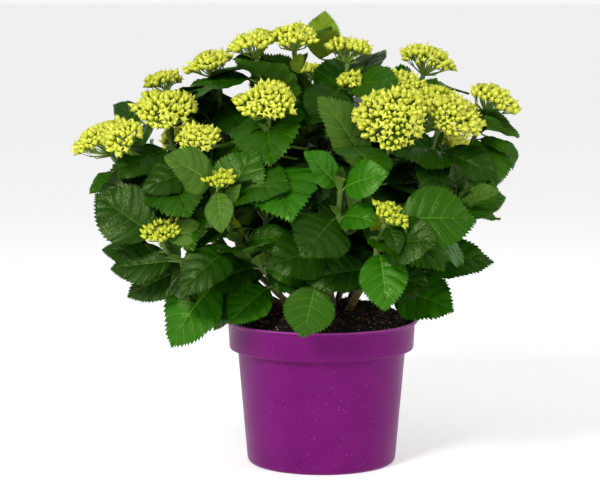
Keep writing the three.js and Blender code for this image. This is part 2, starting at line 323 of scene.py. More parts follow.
def net_group():
    """The net of small veins between a leaf's main veins: cells that stand up between furrows."""
    tree, inlet, outlet = group(
        "vein_net", "ShaderNodeTree",
        [("Cells", "Float", 260.0)], [("Height", "Float")],
    )
    place = place_on(tree)
    cells = add(tree, "ShaderNodeTexVoronoi", {"Vector": place, "Scale": inlet.outputs["Cells"]},
                feature="DISTANCE_TO_EDGE")
    furrow = 0.22
    tree.links.new(mapped(tree, cells.outputs["Distance"], 0.0, furrow), outlet.inputs["Height"])
    return tree


def specks_group():
    """A mask of scattered specks, such as dust on plastic or pores on bark."""
    tree, inlet, outlet = group(
        "specks", "ShaderNodeTree",
        [("Scale", "Float", 300.0), ("Size", "Float", 0.12), ("Share", "Float", 0.3)],
        [("Mask", "Float")],
    )
    place = place_on(tree)
    cells = add(tree, "ShaderNodeTexVoronoi", {"Vector": place, "Scale": inlet.outputs["Scale"]})
    near = maths(tree, "LESS_THAN", cells.outputs["Distance"], inlet.outputs["Size"])
    pick = add(tree, "ShaderNodeSeparateColor", {"Color": cells.outputs["Color"]})
    chosen = maths(tree, "LESS_THAN", pick.outputs[0], inlet.outputs["Share"])
    tree.links.new(maths(tree, "MULTIPLY", near, chosen), outlet.inputs["Mask"])
    return tree


mottle = mottle_group()
vein_net = net_group()
specks = specks_group()
print("shared effects", mottle.name, vein_net.name, specks.name)


# %% Material helpers
def linear(colour):
    """A colour from its usual 0 to 255 numbers to the shader's linear light."""
    shares = [part / 255 for part in colour]
    light = [s / 12.92 if s <= 0.04045 else ((s + 0.055) / 1.055) ** 2.4 for s in shares]
    return (*light, 1.0)


def material(name):
    """An empty material with its tree and its one shader."""
    made = bpy.data.materials.new(name)
    made.use_nodes = True
    return made, made.node_tree, made.node_tree.nodes["Principled BSDF"]


def place_group(tree, source, **values):
    node = add(tree, "ShaderNodeGroup", node_tree=source)
    for label, value in values.items():
        node.inputs[label].default_value = value
    return node


def raise_relief(tree, shader, height, strength, distance):
    """Lets a height push the shading about, as deep as a distance in metres."""
    bump = add(tree, "ShaderNodeBump", {"Height": height, "Strength": strength, "Distance": distance})
    tree.links.new(bump.outputs["Normal"], shader.inputs["Normal"])


def soft_finish(name, colour, glossy, dull, relief=0.0, cells=None, shine=0.5, patches=40.0,
                grain=400.0, tint=(1, 1, 1, 1)):
    """A plain colour whose gloss wanders, with a fine grain or a net of veins as its relief."""
    made, tree, shader = material(name)
    shader.inputs["Base Color"].default_value = linear(colour)
    shader.inputs["Specular IOR Level"].default_value = shine
    shader.inputs["Specular Tint"].default_value = tint
    uneven = place_group(tree, mottle, Glossy=glossy, Dull=dull, Patches=patches, Grain=grain)
    tree.links.new(uneven.outputs["Roughness"], shader.inputs["Roughness"])
    height = uneven.outputs["Height"]
    if cells:
        net = place_group(tree, vein_net, Cells=cells)
        height = maths(tree, "MULTIPLY_ADD", net.outputs["Height"], 1.0, height)
    raise_relief(tree, shader, height, relief, 0.0006)
    return made


floor_paint = soft_finish("floor_paint", (240, 240, 240), 0.8, 0.95, shine=0.1)
floor_shader = floor_paint.node_tree.nodes["Principled BSDF"]
floor_shader.inputs["Emission Color"].default_value = (1, 1, 1, 1)
floor_shader.inputs["Emission Strength"].default_value = 0.4
floor_mesh.materials.append(floor_paint)

# %% [markdown]
# ## The pot
#
# A nursery pot is blown or moulded in one piece of thin plastic: a tapering body, a wide band that
# makes it stiff, and a thin lip. It is round, so one outline carried round a circle makes it. The
# geometry tree below does that carrying, and then cuts the drain holes out of the floor.

# %% The pot's outline
pot_high = np.array(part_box("pot")[1]) / MM
lip, pot_top = pot_high[0], pot_high[2]
WALL = 1.6
print(f"pot {pot_top:.0f} mm high, {2 * lip:.0f} mm across its lip")


def pot_outline():
    """Radius and height, from the middle of the underside up the outside and back down inside."""
    foot, band_foot = 89.0, pot_top - 35
    outside = [(0, 0.9), (52, 0.9), (55, 0), (foot - 6, 0), (foot - 3.4, 0.5), (foot - 1.5, 1.9),
               (foot - 0.5, 4.0), (foot, 7.0)]
    outside += [(foot + (100 - foot) * share, 7 + (band_foot - 9) * share)
                for share in (0.33, 0.66, 1.0)]
    outside += [(100.4, band_foot - 0.8), (101.6, band_foot), (107.6, band_foot),
                (109.3, band_foot + 0.6), (110, band_foot + 2.4), (110.7, pot_top - 18),
                (111.4, pot_top - 6.4), (112.2, pot_top - 4.2), (113.7, pot_top - 3.2),
                (lip - 0.5, pot_top - 2.9), (lip, pot_top - 2.2), (lip, pot_top - 0.8),
                (lip - 0.5, pot_top - 0.1), (lip - 1.5, pot_top)]
    inside = [(lip - 3.2, pot_top - 0.3), (lip - 4.4, pot_top - 1.4), (109.8, pot_top - 5),
              (109.0, pot_top - 18), (108.4, band_foot + 4), (107.4, band_foot + WALL + 0.6),
              (105.6, band_foot + WALL), (100.2, band_foot + WALL), (99.0, band_foot),
              (98.2, band_foot - 3), (foot - WALL, 8), (foot - 3, 4.4), (foot - 6, 2.6), (0, 2.6)]
    return outside + inside


# %% The tree that turns an outline into a pot
def pot_tree():
    tree, inlet, outlet = group(
        "turned_pot", "GeometryNodeTree",
        [("Geometry", "Geometry", None), ("Steps", "Int", 144), ("Holes", "Int", 8),
         ("Hole Radius", "Float", 0.005), ("Hole Ring", "Float", 0.066),
         ("Finish", "Material", None)],
        [("Geometry", "Geometry")],
    )
    ring = add(tree, "GeometryNodeCurvePrimitiveCircle",
               {"Resolution": inlet.outputs["Steps"], "Radius": 1e-6})
    outline = add(tree, "GeometryNodeMeshToCurve", {"Mesh": inlet.outputs["Geometry"]})
    shell = add(tree, "GeometryNodeCurveToMesh",
                {"Curve": ring.outputs["Curve"], "Profile Curve": outline.outputs["Curve"]})
    closed = add(tree, "GeometryNodeMergeByDistance",
                 {"Geometry": shell.outputs["Mesh"], "Distance": 2e-5})
    drill = add(tree, "GeometryNodeMeshCylinder",
                {"Vertices": 24, "Radius": inlet.outputs["Hole Radius"], "Depth": 0.02})
    marks = add(tree, "GeometryNodeMeshCircle",
                {"Vertices": inlet.outputs["Holes"], "Radius": inlet.outputs["Hole Ring"]})
    turned = add(tree, "GeometryNodeTransform",
                 {"Geometry": marks.outputs["Mesh"], "Rotation": (0, 0, math.radians(22.5))})
    drills = add(tree, "GeometryNodeInstanceOnPoints",
                 {"Points": turned.outputs["Geometry"], "Instance": drill.outputs["Mesh"]})
    cut = add(tree, "GeometryNodeMeshBoolean",
              {"Mesh 1": closed.outputs[0], "Mesh 2": made_real(tree, drills.outputs[0])},
              operation="DIFFERENCE", solver="EXACT")
    done = finished(tree, cut.outputs["Mesh"], inlet.outputs["Finish"])
    tree.links.new(done, outlet.inputs["Geometry"])
    return tree


# %% The pot's plastic
def pot_plastic():
    """Glossy purple plastic, pale dust, dark specks of soil and a painted highlight along the lip."""
    made, tree, shader = material("pot_plastic")
    uneven = place_group(tree, mottle, Patches=22.0, Grain=900.0, Glossy=0.27, Dull=0.42)
    dust = place_group(tree, specks, Scale=420.0, Size=0.16, Share=0.07)
    crumbs = place_group(tree, specks, Scale=330.0, Size=0.12, Share=0.05)
    deep, pale = linear((102, 14, 95)), linear((111, 18, 102))
    painted_lip_highlight, dust_pale, soil = linear((176, 84, 168)), linear((196, 150, 190)), linear((58, 30, 40))
    colour = blend(tree, uneven.outputs["Patch"], deep, pale)
    # The lip's top edge is painted lighter: a painted highlight where its edge catches the light.
    height = add(tree, "ShaderNodeSeparateXYZ", {0: place_on(tree)}).outputs[2]
    thin = mapped(tree, height, (pot_top - 2.6) * MM, (pot_top - 1.0) * MM, high=0.55)
    colour = blend(tree, thin, colour, painted_lip_highlight)
    colour = blend(tree, maths(tree, "MULTIPLY", dust.outputs["Mask"], 0.55), colour, dust_pale)
    colour = blend(tree, maths(tree, "MULTIPLY", crumbs.outputs["Mask"], 0.7), colour, soil)
    tree.links.new(colour, shader.inputs["Base Color"])
    rough = maths(tree, "MULTIPLY_ADD", dust.outputs["Mask"], 0.3, uneven.outputs["Roughness"])
    tree.links.new(rough, shader.inputs["Roughness"])
    raise_relief(tree, shader, uneven.outputs["Height"], 0.08, 0.0003)
    shader.inputs["Specular IOR Level"].default_value = 0.12
    shader.inputs["Specular Tint"].default_value = (0.9, 0.6, 0.9, 1.0)
    return made


# %% Turning the pot
outline = pot_outline()
plan = to_object("nursery_pot_plan", [(radius, -height, 0) for radius, height in outline], [],
                 edges=[(i, i + 1) for i in range(len(outline) - 1)])
pot = grow(plan, pot_tree(), {"Finish": pot_plastic(), "Holes": 8})
smooth(pot)
fit(pot, "pot_plastic", "pot")

# %% [markdown]
# ## The compost
#
# Peat compost is a crumbly heap: a rough mound with loose lumps, brown fibres and a few white
# grains. The mound is a turned sheet pushed about by waves. The loose bits follow its surface, so a
# geometry tree scatters them there, picks a shape for each, and makes them real at the end.

# %% Colours of compost
crumbly = dict(shine=0.2, grain=1400.0)
peat_dark = soft_finish("peat_dark", (24, 15, 11), 0.8, 0.98, relief=0.9, **crumbly)
peat_brown = soft_finish("peat_brown", (74, 47, 28), 0.8, 0.98, relief=0.8, **crumbly)
peat_fibre = soft_finish("peat_fibre", (112, 74, 42), 0.7, 0.95, relief=0.5, **crumbly)
grit_white = soft_finish("grit_white", (205, 200, 190), 0.7, 0.9, relief=0.4, shine=0.3,
                         grain=1400.0)

# %% The mound
compost_low, compost_high = (np.array(corner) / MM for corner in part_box("compost"))
mound_top = compost_high[2]


def waves(points, size, seed, count=6):
    """Smooth uneven heights between about -1 and 1: a few sine waves that cross."""
    draw = np.random.default_rng(seed)
    total = np.zeros(len(points))
    for _ in range(count):
        way = draw.normal(size=3)
        way /= np.linalg.norm(way)
        total += np.sin(points @ way * (2 * math.pi / size) * draw.uniform(0.7, 1.5)
                        + draw.uniform(0, 6.28))
    return total / count ** 0.5 / 1.2


def mound():
    """The heap's top is lumpy. Its side and its base fill the pot down to the floor."""
    around, steps = 120, 44
    edge, foot = 107.6, compost_low[2]
    level = mound_top - 1.5
    rings = [(edge * (k / steps) ** 0.85, None) for k in range(1, steps + 1)]
    rings += [(edge - 0.3, 150), (105.6, 139.5), (98.0, 136), (86.8, foot + 3), (84, foot)]
    points = [(0, 0, level)]
    for radius, height in rings:
        for k in range(around):
            turn = 2 * math.pi * k / around
            x, y = radius * math.cos(turn), radius * math.sin(turn)
            slope = np.interp(radius, [0, 66, 88, edge], [0, 0, -7, -23])
            points.append((x, y, level + slope if height is None else height))
    points.append((0, 0, foot))
    points = np.array(points)
    top = np.arange(len(points)) < 1 + around * steps
    inner = np.clip((edge - np.hypot(points[:, 0], points[:, 1])) / 6, 0.25, 1)
    lumps = 1.6 * waves(points, 34, 3) + 0.9 * waves(points, 11, 5) + 0.5 * waves(points, 5, 9)
    points[top, 2] += (lumps * inner)[top]
    faces = [(0, 1 + k, 1 + (k + 1) % around) for k in range(around)]
    faces += walls(1, len(rings) - 1, around)
    last = 1 + (len(rings) - 1) * around
    faces += [(last + k, len(points) - 1, last + (k + 1) % around) for k in range(around)]
    return points, faces


ground_points, ground_faces = mound()
print(f"compost {mound_top:.0f} mm high, its mound has {len(ground_points):,} points")
compost = to_object("compost_mound", ground_points, ground_faces)
compost.data.materials.append(peat_dark)
smooth(compost)
store(compost, "scatter", "FLOAT", [
    1.0 if face.center.z > (mound_top - 25) * MM and face.normal.z > 0.3 else 0.0
    for face in compost.data.polygons], "FACE")

# %% Shapes of the loose bits
bits = bpy.data.collections.new("loose_bits")


def keep_shape(made, shelf, *finishes):
    """Puts a small pattern shape on a shelf that a tree picks from, and out of the scene."""
    scene.collection.objects.unlink(made)
    shelf.objects.link(made)
    for finish in finishes:
        made.data.materials.append(finish)


def lump(name, seed, finish, size):
    """A crumb: a ball of few faces, squashed and knocked out of round."""
    draw = np.random.default_rng(seed)
    golden = (1 + 5 ** 0.5) / 2
    ball = np.array([(0, a, b * golden) for a in (-1, 1) for b in (-1, 1)])
    ball = np.vstack([ball, ball[:, [2, 0, 1]], ball[:, [1, 2, 0]]]) / 1.9
    faces = [(i, j, k) for i in range(12) for j in range(i + 1, 12) for k in range(j + 1, 12)
             if max(np.linalg.norm(ball[i] - ball[j]), np.linalg.norm(ball[j] - ball[k]),
                    np.linalg.norm(ball[i] - ball[k])) < 1.1]
    outward = [(i, j, k) if np.dot(np.cross(ball[j] - ball[i], ball[k] - ball[i]), ball[i]) > 0
               else (k, j, i) for i, j, k in faces]
    points = ball * draw.uniform(0.65, 1.25, (12, 1)) * size * np.array([1.2, 1.0, 0.7])
    made = to_object(name, points, outward)
    keep_shape(made, bits, finish)


def fibre(name, seed, finish):
    """A thin curled root of peat, three-sided."""
    draw = np.random.default_rng(seed)
    steps, length, radius = 6, 9.0, 0.28
    bend = draw.uniform(0.6, 1.6)
    points, faces = [], []
    for k in range(steps):
        turn = bend * k / (steps - 1)
        middle = np.array([length * math.sin(turn) / bend, length * (1 - math.cos(turn)) / bend,
                           1.2 + 0.8 * math.sin(3 * turn + seed)])
        for side in range(3):
            around = 2 * math.pi * side / 3
            points.append(middle + radius * np.array([0, math.cos(around), math.sin(around)]))
    for k in range(steps - 1):
        for side in range(3):
            a, b = 3 * k + side, 3 * k + (side + 1) % 3
            faces.append((a + 3, b + 3, b, a))
    faces += [(0, 1, 2), (3 * steps - 3, 3 * steps - 2, 3 * steps - 1)]
    made = to_object(name, points, faces)
    keep_shape(made, bits, finish)


for number in range(4):
    lump(f"bit_{number}_dark", 11 + number, peat_dark, 2.7 - 0.4 * number)
for number in range(4, 7):
    lump(f"bit_{number}_brown", 21 + number, peat_brown, 2.3 - 0.3 * (number - 4))
fibre("bit_7_fibre", 3, peat_fibre)
fibre("bit_8_fibre", 4, peat_brown)
lump("bit_9_grit", 31, grit_white, 0.75)


# %% The tree that scatters them
def scatter_tree():
    tree, inlet, outlet = group(
        "scattered_bits", "GeometryNodeTree",
        [("Geometry", "Geometry", None), ("Shapes", "Collection", None), ("Spacing", "Float", 0.003),
         ("Seed", "Int", 4)],
        [("Geometry", "Geometry")],
    )
    points = add(tree, "GeometryNodeDistributePointsOnFaces", {
        "Mesh": inlet.outputs["Geometry"], "Distance Min": inlet.outputs["Spacing"],
        "Density Max": 160000.0, "Density Factor": said(tree, "scatter"),
        "Seed": inlet.outputs["Seed"]}, distribute_method="POISSON")
    laid = add(tree, "GeometryNodeInstanceOnPoints", {
        "Points": points.outputs["Points"], "Instance": shapes_of(tree, inlet),
        "Pick Instance": True, "Instance Index": varied(tree, 0, 9, 1, "INT"),
        "Rotation": varied(tree, (-0.6, -0.6, 0), (0.6, 0.6, 6.28), 2, "FLOAT_VECTOR"),
        "Scale": varied(tree, 0.5, 1.4, 3)})
    tree.links.new(made_real(tree, laid.outputs[0]), outlet.inputs["Geometry"])
    return tree


loose_plan = compost.copy()
loose_plan.data = compost.data.copy()
loose_plan.name = "compost_crumbs_plan"
scene.collection.objects.link(loose_plan)
crumbs = grow(loose_plan, scatter_tree(), {"Shapes": bits, "Spacing": 0.0033})
fit(compost, "compost_peat", "compost")
fit(crumbs, "compost_peat", "compost")

# %% [markdown]
# ## Where the limbs run
#
# A hydrangea sends up a dozen canes from its base. They fork a little above the compost, and every
# fork ends in one flower head. The frame's stems give the canes' first stretch: cutting a stem with
# level planes and taking the middle of each cut gives its centre line. From there each limb bends
# smoothly into the stalk of the flower head on top of the mass it feeds.

# %% Reading the frame
def corners(node):
    return np.array([vertex.co[:] for vertex in frame["nodes"][node].data.vertices]) / MM


def unit(vector):
    return np.asarray(vector, float) / np.linalg.norm(vector)


def axis_at(path, k):
    """The direction in which a limb arrives at one of its points."""
    return unit(path[k] - path[k - 2])


def bearing(degrees, rise=0.0):
    """A level direction round the pot (270 is the front), lifted by a rise in degrees."""
    turn, up = math.radians(degrees), math.radians(rise)
    return np.array([math.cos(turn) * math.cos(up), math.sin(turn) * math.cos(up), math.sin(up)])


def centre_line(node, cuts=6):
    """The middles of a stem's level cross-sections, from its foot up, and its radius at each."""
    points = corners(node)
    ends = np.array([edge.vertices[:] for edge in frame["nodes"][node].data.edges])
    low, high = points[:, 2].min(), points[:, 2].max()
    middles, radii = [], []
    for height in np.linspace(low + 0.4, low + 0.85 * (high - low), cuts):
        a, b = points[ends[:, 0]], points[ends[:, 1]]
        crossing = (a[:, 2] - height) * (b[:, 2] - height) < 0
        share = ((height - a[:, 2]) / (b[:, 2] - a[:, 2] + 1e-9))[crossing, None]
        cut = a[crossing] + (b[crossing] - a[crossing]) * share
        middles.append(cut.mean(0))
        radii.append(np.linalg.norm(cut - cut.mean(0), axis=1).min())
    return np.array(middles), np.array(radii)


def arc(start, start_way, end, end_way, steps=24, pull=1.0):
    """A smooth curve that leaves start along one direction and arrives at end along another."""
    t = np.linspace(0, 1, steps)[:, None]
    reach = np.linalg.norm(end - start) * pull
    return ((2 * t ** 3 - 3 * t ** 2 + 1) * start + (t ** 3 - 2 * t ** 2 + t) * start_way * reach
            + (-2 * t ** 3 + 3 * t ** 2) * end + (t ** 3 - t ** 2) * end_way * reach)


def evenly(path, gap):
    """The same path with its points a set distance apart."""
    steps = np.linalg.norm(np.diff(path, axis=0), axis=1)
    along = np.concatenate([[0], np.cumsum(steps)])
    count = max(2, int(round(along[-1] / gap)) + 1)
    wanted = np.linspace(0, along[-1], count)
    return np.stack([np.interp(wanted, along, path[:, axis]) for axis in range(3)], axis=1)


# %% [markdown]
# ## The flower heads' places
#
# A head sits on the highest point of its mass, or a little off it. Its width, its lean and the way
# it leans are written down, because they are what gives the bush its face. A full head is a
# dense dome. A young one is small and loose, and a tiny one is a few green beads between two leaves.

# %% Flower heads, listed
flower_heads = {
    "far_left": (84, 25, 180, "full"), "left_front": (56, 48, 235, "full"),
    "left": (80, 27, 262, "full"), "left_back": (54, 12, 150, "full"),
    "upper_left": (66, 18, 190, "full"), "inner_left": (58, 35, 262, "full"),
    "front_left": (50, 20, 275, "young"), "low_left": (56, 22, 250, "young"),
    "crown_left": (66, 12, 200, "full"), "crown_front": (62, 15, 270, "full"),
    "front_upper": (76, 30, 262, "full"), "crown_right": (62, 10, 60, "full"),
    "front_right": (90, 52, 262, "full"), "inner_right": (58, 16, 330, "full"),
    "right_front": (92, 36, 318, "full"), "upper_right": (74, 16, 330, "full"),
    "far_right": (72, 28, 350, "full"), "low_front_right": (52, 34, 325, "young"),
    "front": (16, 12, 280, "tiny"), "right": (16, 20, 340, "tiny"),
    "side_right": (70, 26, 20, "full"), "back_right": (78, 24, 45, "full"),
    "back_inner": (66, 14, 70, "full"), "back_high": (72, 10, 100, "full"),
    "back": (80, 26, 92, "full"), "back_left": (74, 22, 120, "full"),
    "side_back": (70, 26, 145, "full"), "side_left": (56, 34, 170, "full"),
    "low_back_right": (54, 34, 70, "young"), "low_back_left": (52, 36, 122, "young"),
}
# Two more heads sit on side shoots: their mass, how far they stand off its highest point (right,
# back, up), and the same four settings.
side_heads = {
    "left_side": ("low_left", (10, 20, 15), (24, 10, 200, "young")),
    "crown_side": ("crown_right", (-20, -20, -30), (40, 20, 260, "full")),
}
# These heads stand a little off their mass's highest point, for more room beside a leaf or a head.
shifts = {
    "left_front": (0, -5, 15), "inner_left": (-10, 0, 0), "low_front_right": (0, 0, 5),
    "right_front": (-5, 0, 0), "crown_right": (-20, 0, 10),
}
RISE = {"full": 0.46, "young": 0.34, "tiny": 0.6}


def head_at(mass, pole, settings):
    """The head's rim centre, axis, radius, dome height and the foot of its stalks."""
    width, lean, towards, kind = settings
    axis = bearing(towards, 90 - lean)
    radius = width / 2
    dome = radius * RISE[kind]
    ball = (radius ** 2 + dome ** 2) / (2 * dome)
    tilt = math.radians(lean)
    if tilt < math.asin(min(1, radius / ball)):
        lift = ball - (ball - dome) * math.cos(tilt)
    else:
        lift = radius * math.sin(tilt)
    centre = pole - UP * lift
    foot = centre - axis * max(0.52 * radius, 9)
    return dict(node="foliage_" + mass, kind=kind, centre=centre, axis=axis, radius=radius,
                dome=dome, foot=foot)


def top_of(mass, shift=(0, 0, 0)):
    points = corners("foliage_" + mass)
    return points[points[:, 2].argmax()] + shift


heads = {mass: head_at(mass, top_of(mass, shifts.get(mass, (0, 0, 0))), settings)
         for mass, settings in flower_heads.items()}
heads |= {name: head_at(mass, top_of(mass, shift), settings)
          for name, (mass, shift, settings) in side_heads.items()}
print("heads", len(heads), "highest", round(max(h["centre"][2] for h in heads.values())))

# %% Canes from the frame's stems
fed_by = {
    "low_left": "low_left", "left": "left", "side_left": "side_left", "front_left": "front_left",
    "front": "front", "front_right": "low_front_right", "right": "right",
    "back_right": "back_right", "back_inner": "low_back_right", "back": "back",
    "back_left": "low_back_left",
}
GAP = 3.0  # between the points of a limb's path
SUNK = 7  # how deep a cane's foot stands in the compost
BARE_FOOT = 14  # no fork and no seeded pair of leaves is lower than this above the compost
limbs = []


def add_limb(name, shoot, path, thick, tip_thick, old=0.0):
    """Keeps a limb: the shoot it ends as, its points, its radii and how woody its foot is."""
    path = evenly(path, GAP)
    share = np.linspace(0, 1, len(path))
    wander = np.stack([waves(path, 90, len(limbs) * 3 + axis, 3) for axis in range(3)], axis=1)
    path = path + wander * (1.1 * np.sin(math.pi * share) ** 0.5)[:, None]
    radius = tip_thick + (thick - tip_thick) * (1 - share) ** 1.3
    age = old * (1 - share) ** 1.5
    limbs.append(dict(name=name, shoot=shoot, path=path, radius=radius, old=age))


for node in stem_nodes:
    name = node.removeprefix("stem_")
    middles, radii = centre_line(node)
    leaving = unit(middles[-1] - middles[-2])
    foot = middles[0] - unit(middles[1] - middles[0]) * SUNK
    if name in fed_by:
        head = heads[fed_by[name]]
        goal, arriving = head["foot"], head["axis"]
    else:
        low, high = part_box("foliage_heart_high")
        goal, arriving = np.array((low + high) / 2) / MM, UP
    onward = arc(middles[-1], leaving, goal, arriving)
    add_limb(name, fed_by.get(name), np.vstack([foot, middles, onward[1:]]), radii[0] * 0.95, 2.9,
             old=1.0)
    print(f"cane {name}: {len(limbs[-1]['path']) * GAP:.0f} mm, foot {2 * radii[0]:.1f} mm thick")

# %% [markdown]
# ## Forks
#
# The other shoots fork off the canes by one rule: a shoot leaves the cane, and the height on it, that
# give it the shortest way to its flower head without a sharp turn, and a spot close to another fork
# costs extra. This is a small case of how plants are often grown in software: the ends are known, and
# the branching looks for the cheapest way to reach them.

# %% Forking shoots
canes = list(limbs)
forks = []


def best_fork(goal):
    """The cheapest cane to fork from, the point on it, and the cane's direction there."""
    below_head, highest_share, own_room = 45, 0.62, 26
    best = None
    for cane in canes:
        path = cane["path"]
        for k in range(4, len(path) - 8, 3):
            start = path[k]
            if start[2] <= mound_top + BARE_FOOT or start[2] >= goal[2] - below_head:
                continue
            if k > len(path) * highest_share:
                continue
            way = unit(path[k + 1] - path[k - 1])
            straight = goal - start
            length = np.linalg.norm(straight)
            turn = 1 - np.dot(way, straight / length)
            crowd = sum(np.linalg.norm(start - other) < own_room for other in forks)
            cost = length * (1 + 1.3 * turn) + 60 * crowd
            if best is None or cost < best[0]:
                best = (cost, cane, k, way)
    return best


for name, head in heads.items():
    if name in fed_by.values():
        continue
    _, cane, k, way = best_fork(head["foot"])
    start = cane["path"][k]
    forks.append(start)
    leaving = unit(way + 0.9 * unit(head["foot"] - start))
    path = arc(start, leaving, head["foot"], head["axis"])
    add_limb(name, name, path, min(3.4, cane["radius"][k]), 2.5, old=0.35 * cane["old"][k])
    print(f"shoot {name} forks from {cane['name']} at {start[2]:.0f} mm")

# %% [markdown]
# ## One leaf
#
# A hydrangea leaf is broad and oval with a drawn-out tip. Its side veins leave the midrib in an arch
# and each ends in a tooth of the saw edge, and the blade puckers up between them. So the mesh is
# woven along the veins: each row of faces starts at the midrib, follows the arch and ends at the
# edge. A row at a vein is narrow, low and paler, the rows between stand up, and every other line
# between two rows ends in a tooth. The underside is a second sheet that meets the first at the edge.

# %% Leaf shape
VEINS = 7
# Where the rows start between one vein and the next, and which of those lines end in a tooth.
ROWS_OF_VEIN = (0.0, 0.06, 0.333, 0.42, 0.667, 0.757)
BESIDE_VEIN, TOOTHED = 0.06, (0.0, 0.333, 0.667)
# Steps along a row, from the midrib to the edge.
TOP_STEPS = (0.0, 0.024, 0.36, 0.74, 1.0)
UNDER_STEPS = (0.0, 0.36, 0.74, 1.0)
BLADE, RIB, UNDER = 0, 1, 2


def half_width(y, broad):
    """Half the blade's width at a share of its length from the stalk."""
    return broad * np.sin(math.pi * y ** 0.9) ** 0.8 * (1 - 0.55 * y ** 10)


def blade(seed, broad=0.33, droop=45, fold=14, wave=0.02, twist=8, sweep=0.03, pucker=0.019):
    """A leaf one unit long, from the end of its stalk along +Y, with its upper side to +Z."""
    draw = np.random.default_rng(seed)
    starts = [(cell + row) / VEINS for cell in range(VEINS) for row in ROWS_OF_VEIN] + [1.0]
    phase, phase2 = draw.uniform(0, 6.28, 2)
    fine = 200
    line = np.linspace(0, 1, fine)
    angle = -np.radians(droop) * line ** 1.4
    middle_y = np.concatenate([[0], np.cumsum(np.cos(angle))[:-1]]) / fine
    middle_z = np.concatenate([[0], np.cumsum(np.sin(angle))[:-1]]) / fine

    def point(start, step, side, under):
        # The line beside a vein closes up to it towards the edge, so that the vein tapers.
        cell = (start * VEINS) % 1.0
        if round(cell, 3) == BESIDE_VEIN:
            start -= 0.042 * step / VEINS
        # A side vein leaves the midrib at its root and arches up to its end at the edge.
        root, end = start ** 1.15, 1 - (1 - start) ** 1.6
        y = root + (end - root) * step ** 1.3
        broadness = half_width(np.clip(end, 0, 1), broad)
        # The saw edge is finer at both ends of the blade.
        saw = 0.021 * min(1, 9 * start, 7 * (1 - start))
        tooth = saw if round(cell, 3) in TOOTHED else -0.5 * saw
        x = broadness * step + (tooth * 0.8 if step == 1 else 0)
        y += tooth * 0.75 if step == 1 and 0 < start < 1 else 0
        # The blade puckers up between its veins, folds along its midrib and waves at its margin.
        puff = pucker * math.sin(math.pi * min(1, max(0, (cell - 0.045) / 0.955))) ** 0.8
        puff *= math.sin(math.pi * min(step, 0.999) ** 0.7) * min(1, 5 * (1 - start), 8 * start)
        margin = step * step
        lift = x * math.tan(math.radians(fold)) * (1 - 0.55 * step) + puff
        lift += wave * margin * math.sin(2 * math.pi * 2.2 * y + phase + (1.3 if side > 0 else 0))
        lift += 0.5 * wave * margin * math.sin(2 * math.pi * 5.1 * y + phase2 * side)
        # The underside lies a little lower, most of all under the midrib.
        thick = (0.007 * (1 - step ** 2) + (0.012 * (1 - y) if step == 0 else 0)) if under else 0
        lift -= thick
        # The blade twists and droops along its length, and sweeps to one side.
        roll = math.radians(twist) * y
        across = side * x * math.cos(roll) - lift * math.sin(roll)
        rise = side * x * math.sin(roll) + lift * math.cos(roll)
        share = min(max(y, 0), 1)
        bend = np.interp(share, line, angle)
        cy, cz = np.interp(share, line, middle_y), np.interp(share, line, middle_z)
        over = max(y - 1, 0)
        return (across + sweep * y * y, cy + over * math.cos(bend) - rise * math.sin(bend),
                cz + over * math.sin(bend) + rise * math.cos(bend))

    points, index, faces, parts = [], {}, [], []

    def corner(row, step, side, under):
        """The number of a point, which sides and sheets share at the midrib, edge and both ends."""
        at_end = row in (0, len(starts) - 1)
        step = 0 if at_end else step
        key = (row, step, side if step else 0, 0 if at_end or step == 1 else under)
        if key not in index:
            index[key] = len(points)
            points.append(point(starts[row], step, side, under))
        return index[key]

    for under, steps in ((0, TOP_STEPS), (1, UNDER_STEPS)):
        for side in (1, -1):
            for row in range(len(starts) - 1):
                for k in range(len(steps) - 1):
                    around = ((row, k), (row, k + 1), (row + 1, k + 1), (row + 1, k))
                    ring = list(dict.fromkeys(corner(r, steps[s], side, under) for r, s in around))
                    if len(ring) < 3:
                        continue
                    faces.append(ring if (side > 0) != (under > 0) else ring[:1] + ring[:0:-1])
                    vein = row % len(ROWS_OF_VEIN) == 0 and row > 0
                    parts.append(UNDER if under else RIB if vein or k == 0 else BLADE)
    return np.array(points), faces, parts


# %% A shelf of leaf shapes
leaf_shapes = bpy.data.collections.new("leaf_shapes")
leaf_kinds = [
    dict(broad=0.36, droop=28, fold=11, wave=0.018, twist=5, sweep=0.03),
    dict(broad=0.34, droop=46, fold=9, wave=0.022, twist=-9, sweep=-0.04),
    dict(broad=0.37, droop=62, fold=10, wave=0.02, twist=10, sweep=0.02),
    dict(broad=0.35, droop=38, fold=15, wave=0.03, twist=-14, sweep=0.05),
    dict(broad=0.34, droop=78, fold=8, wave=0.018, twist=12, sweep=-0.03),
    dict(broad=0.36, droop=14, fold=13, wave=0.026, twist=-6, sweep=0.03),
    dict(broad=0.29, droop=30, fold=20, wave=0.02, twist=9, sweep=0.04),
    dict(broad=0.22, droop=24, fold=34, wave=0.012, twist=-10, sweep=0.05),
    dict(broad=0.4, droop=34, fold=7, wave=0.024, twist=6, sweep=-0.02, pucker=0.03),
]
NARROW, YOUNG, FLAT, PUCKERED = 6, 7, 5, 8
MARKS_OF_LEAF = 18
leaf_tips, leaf_marks = [], []
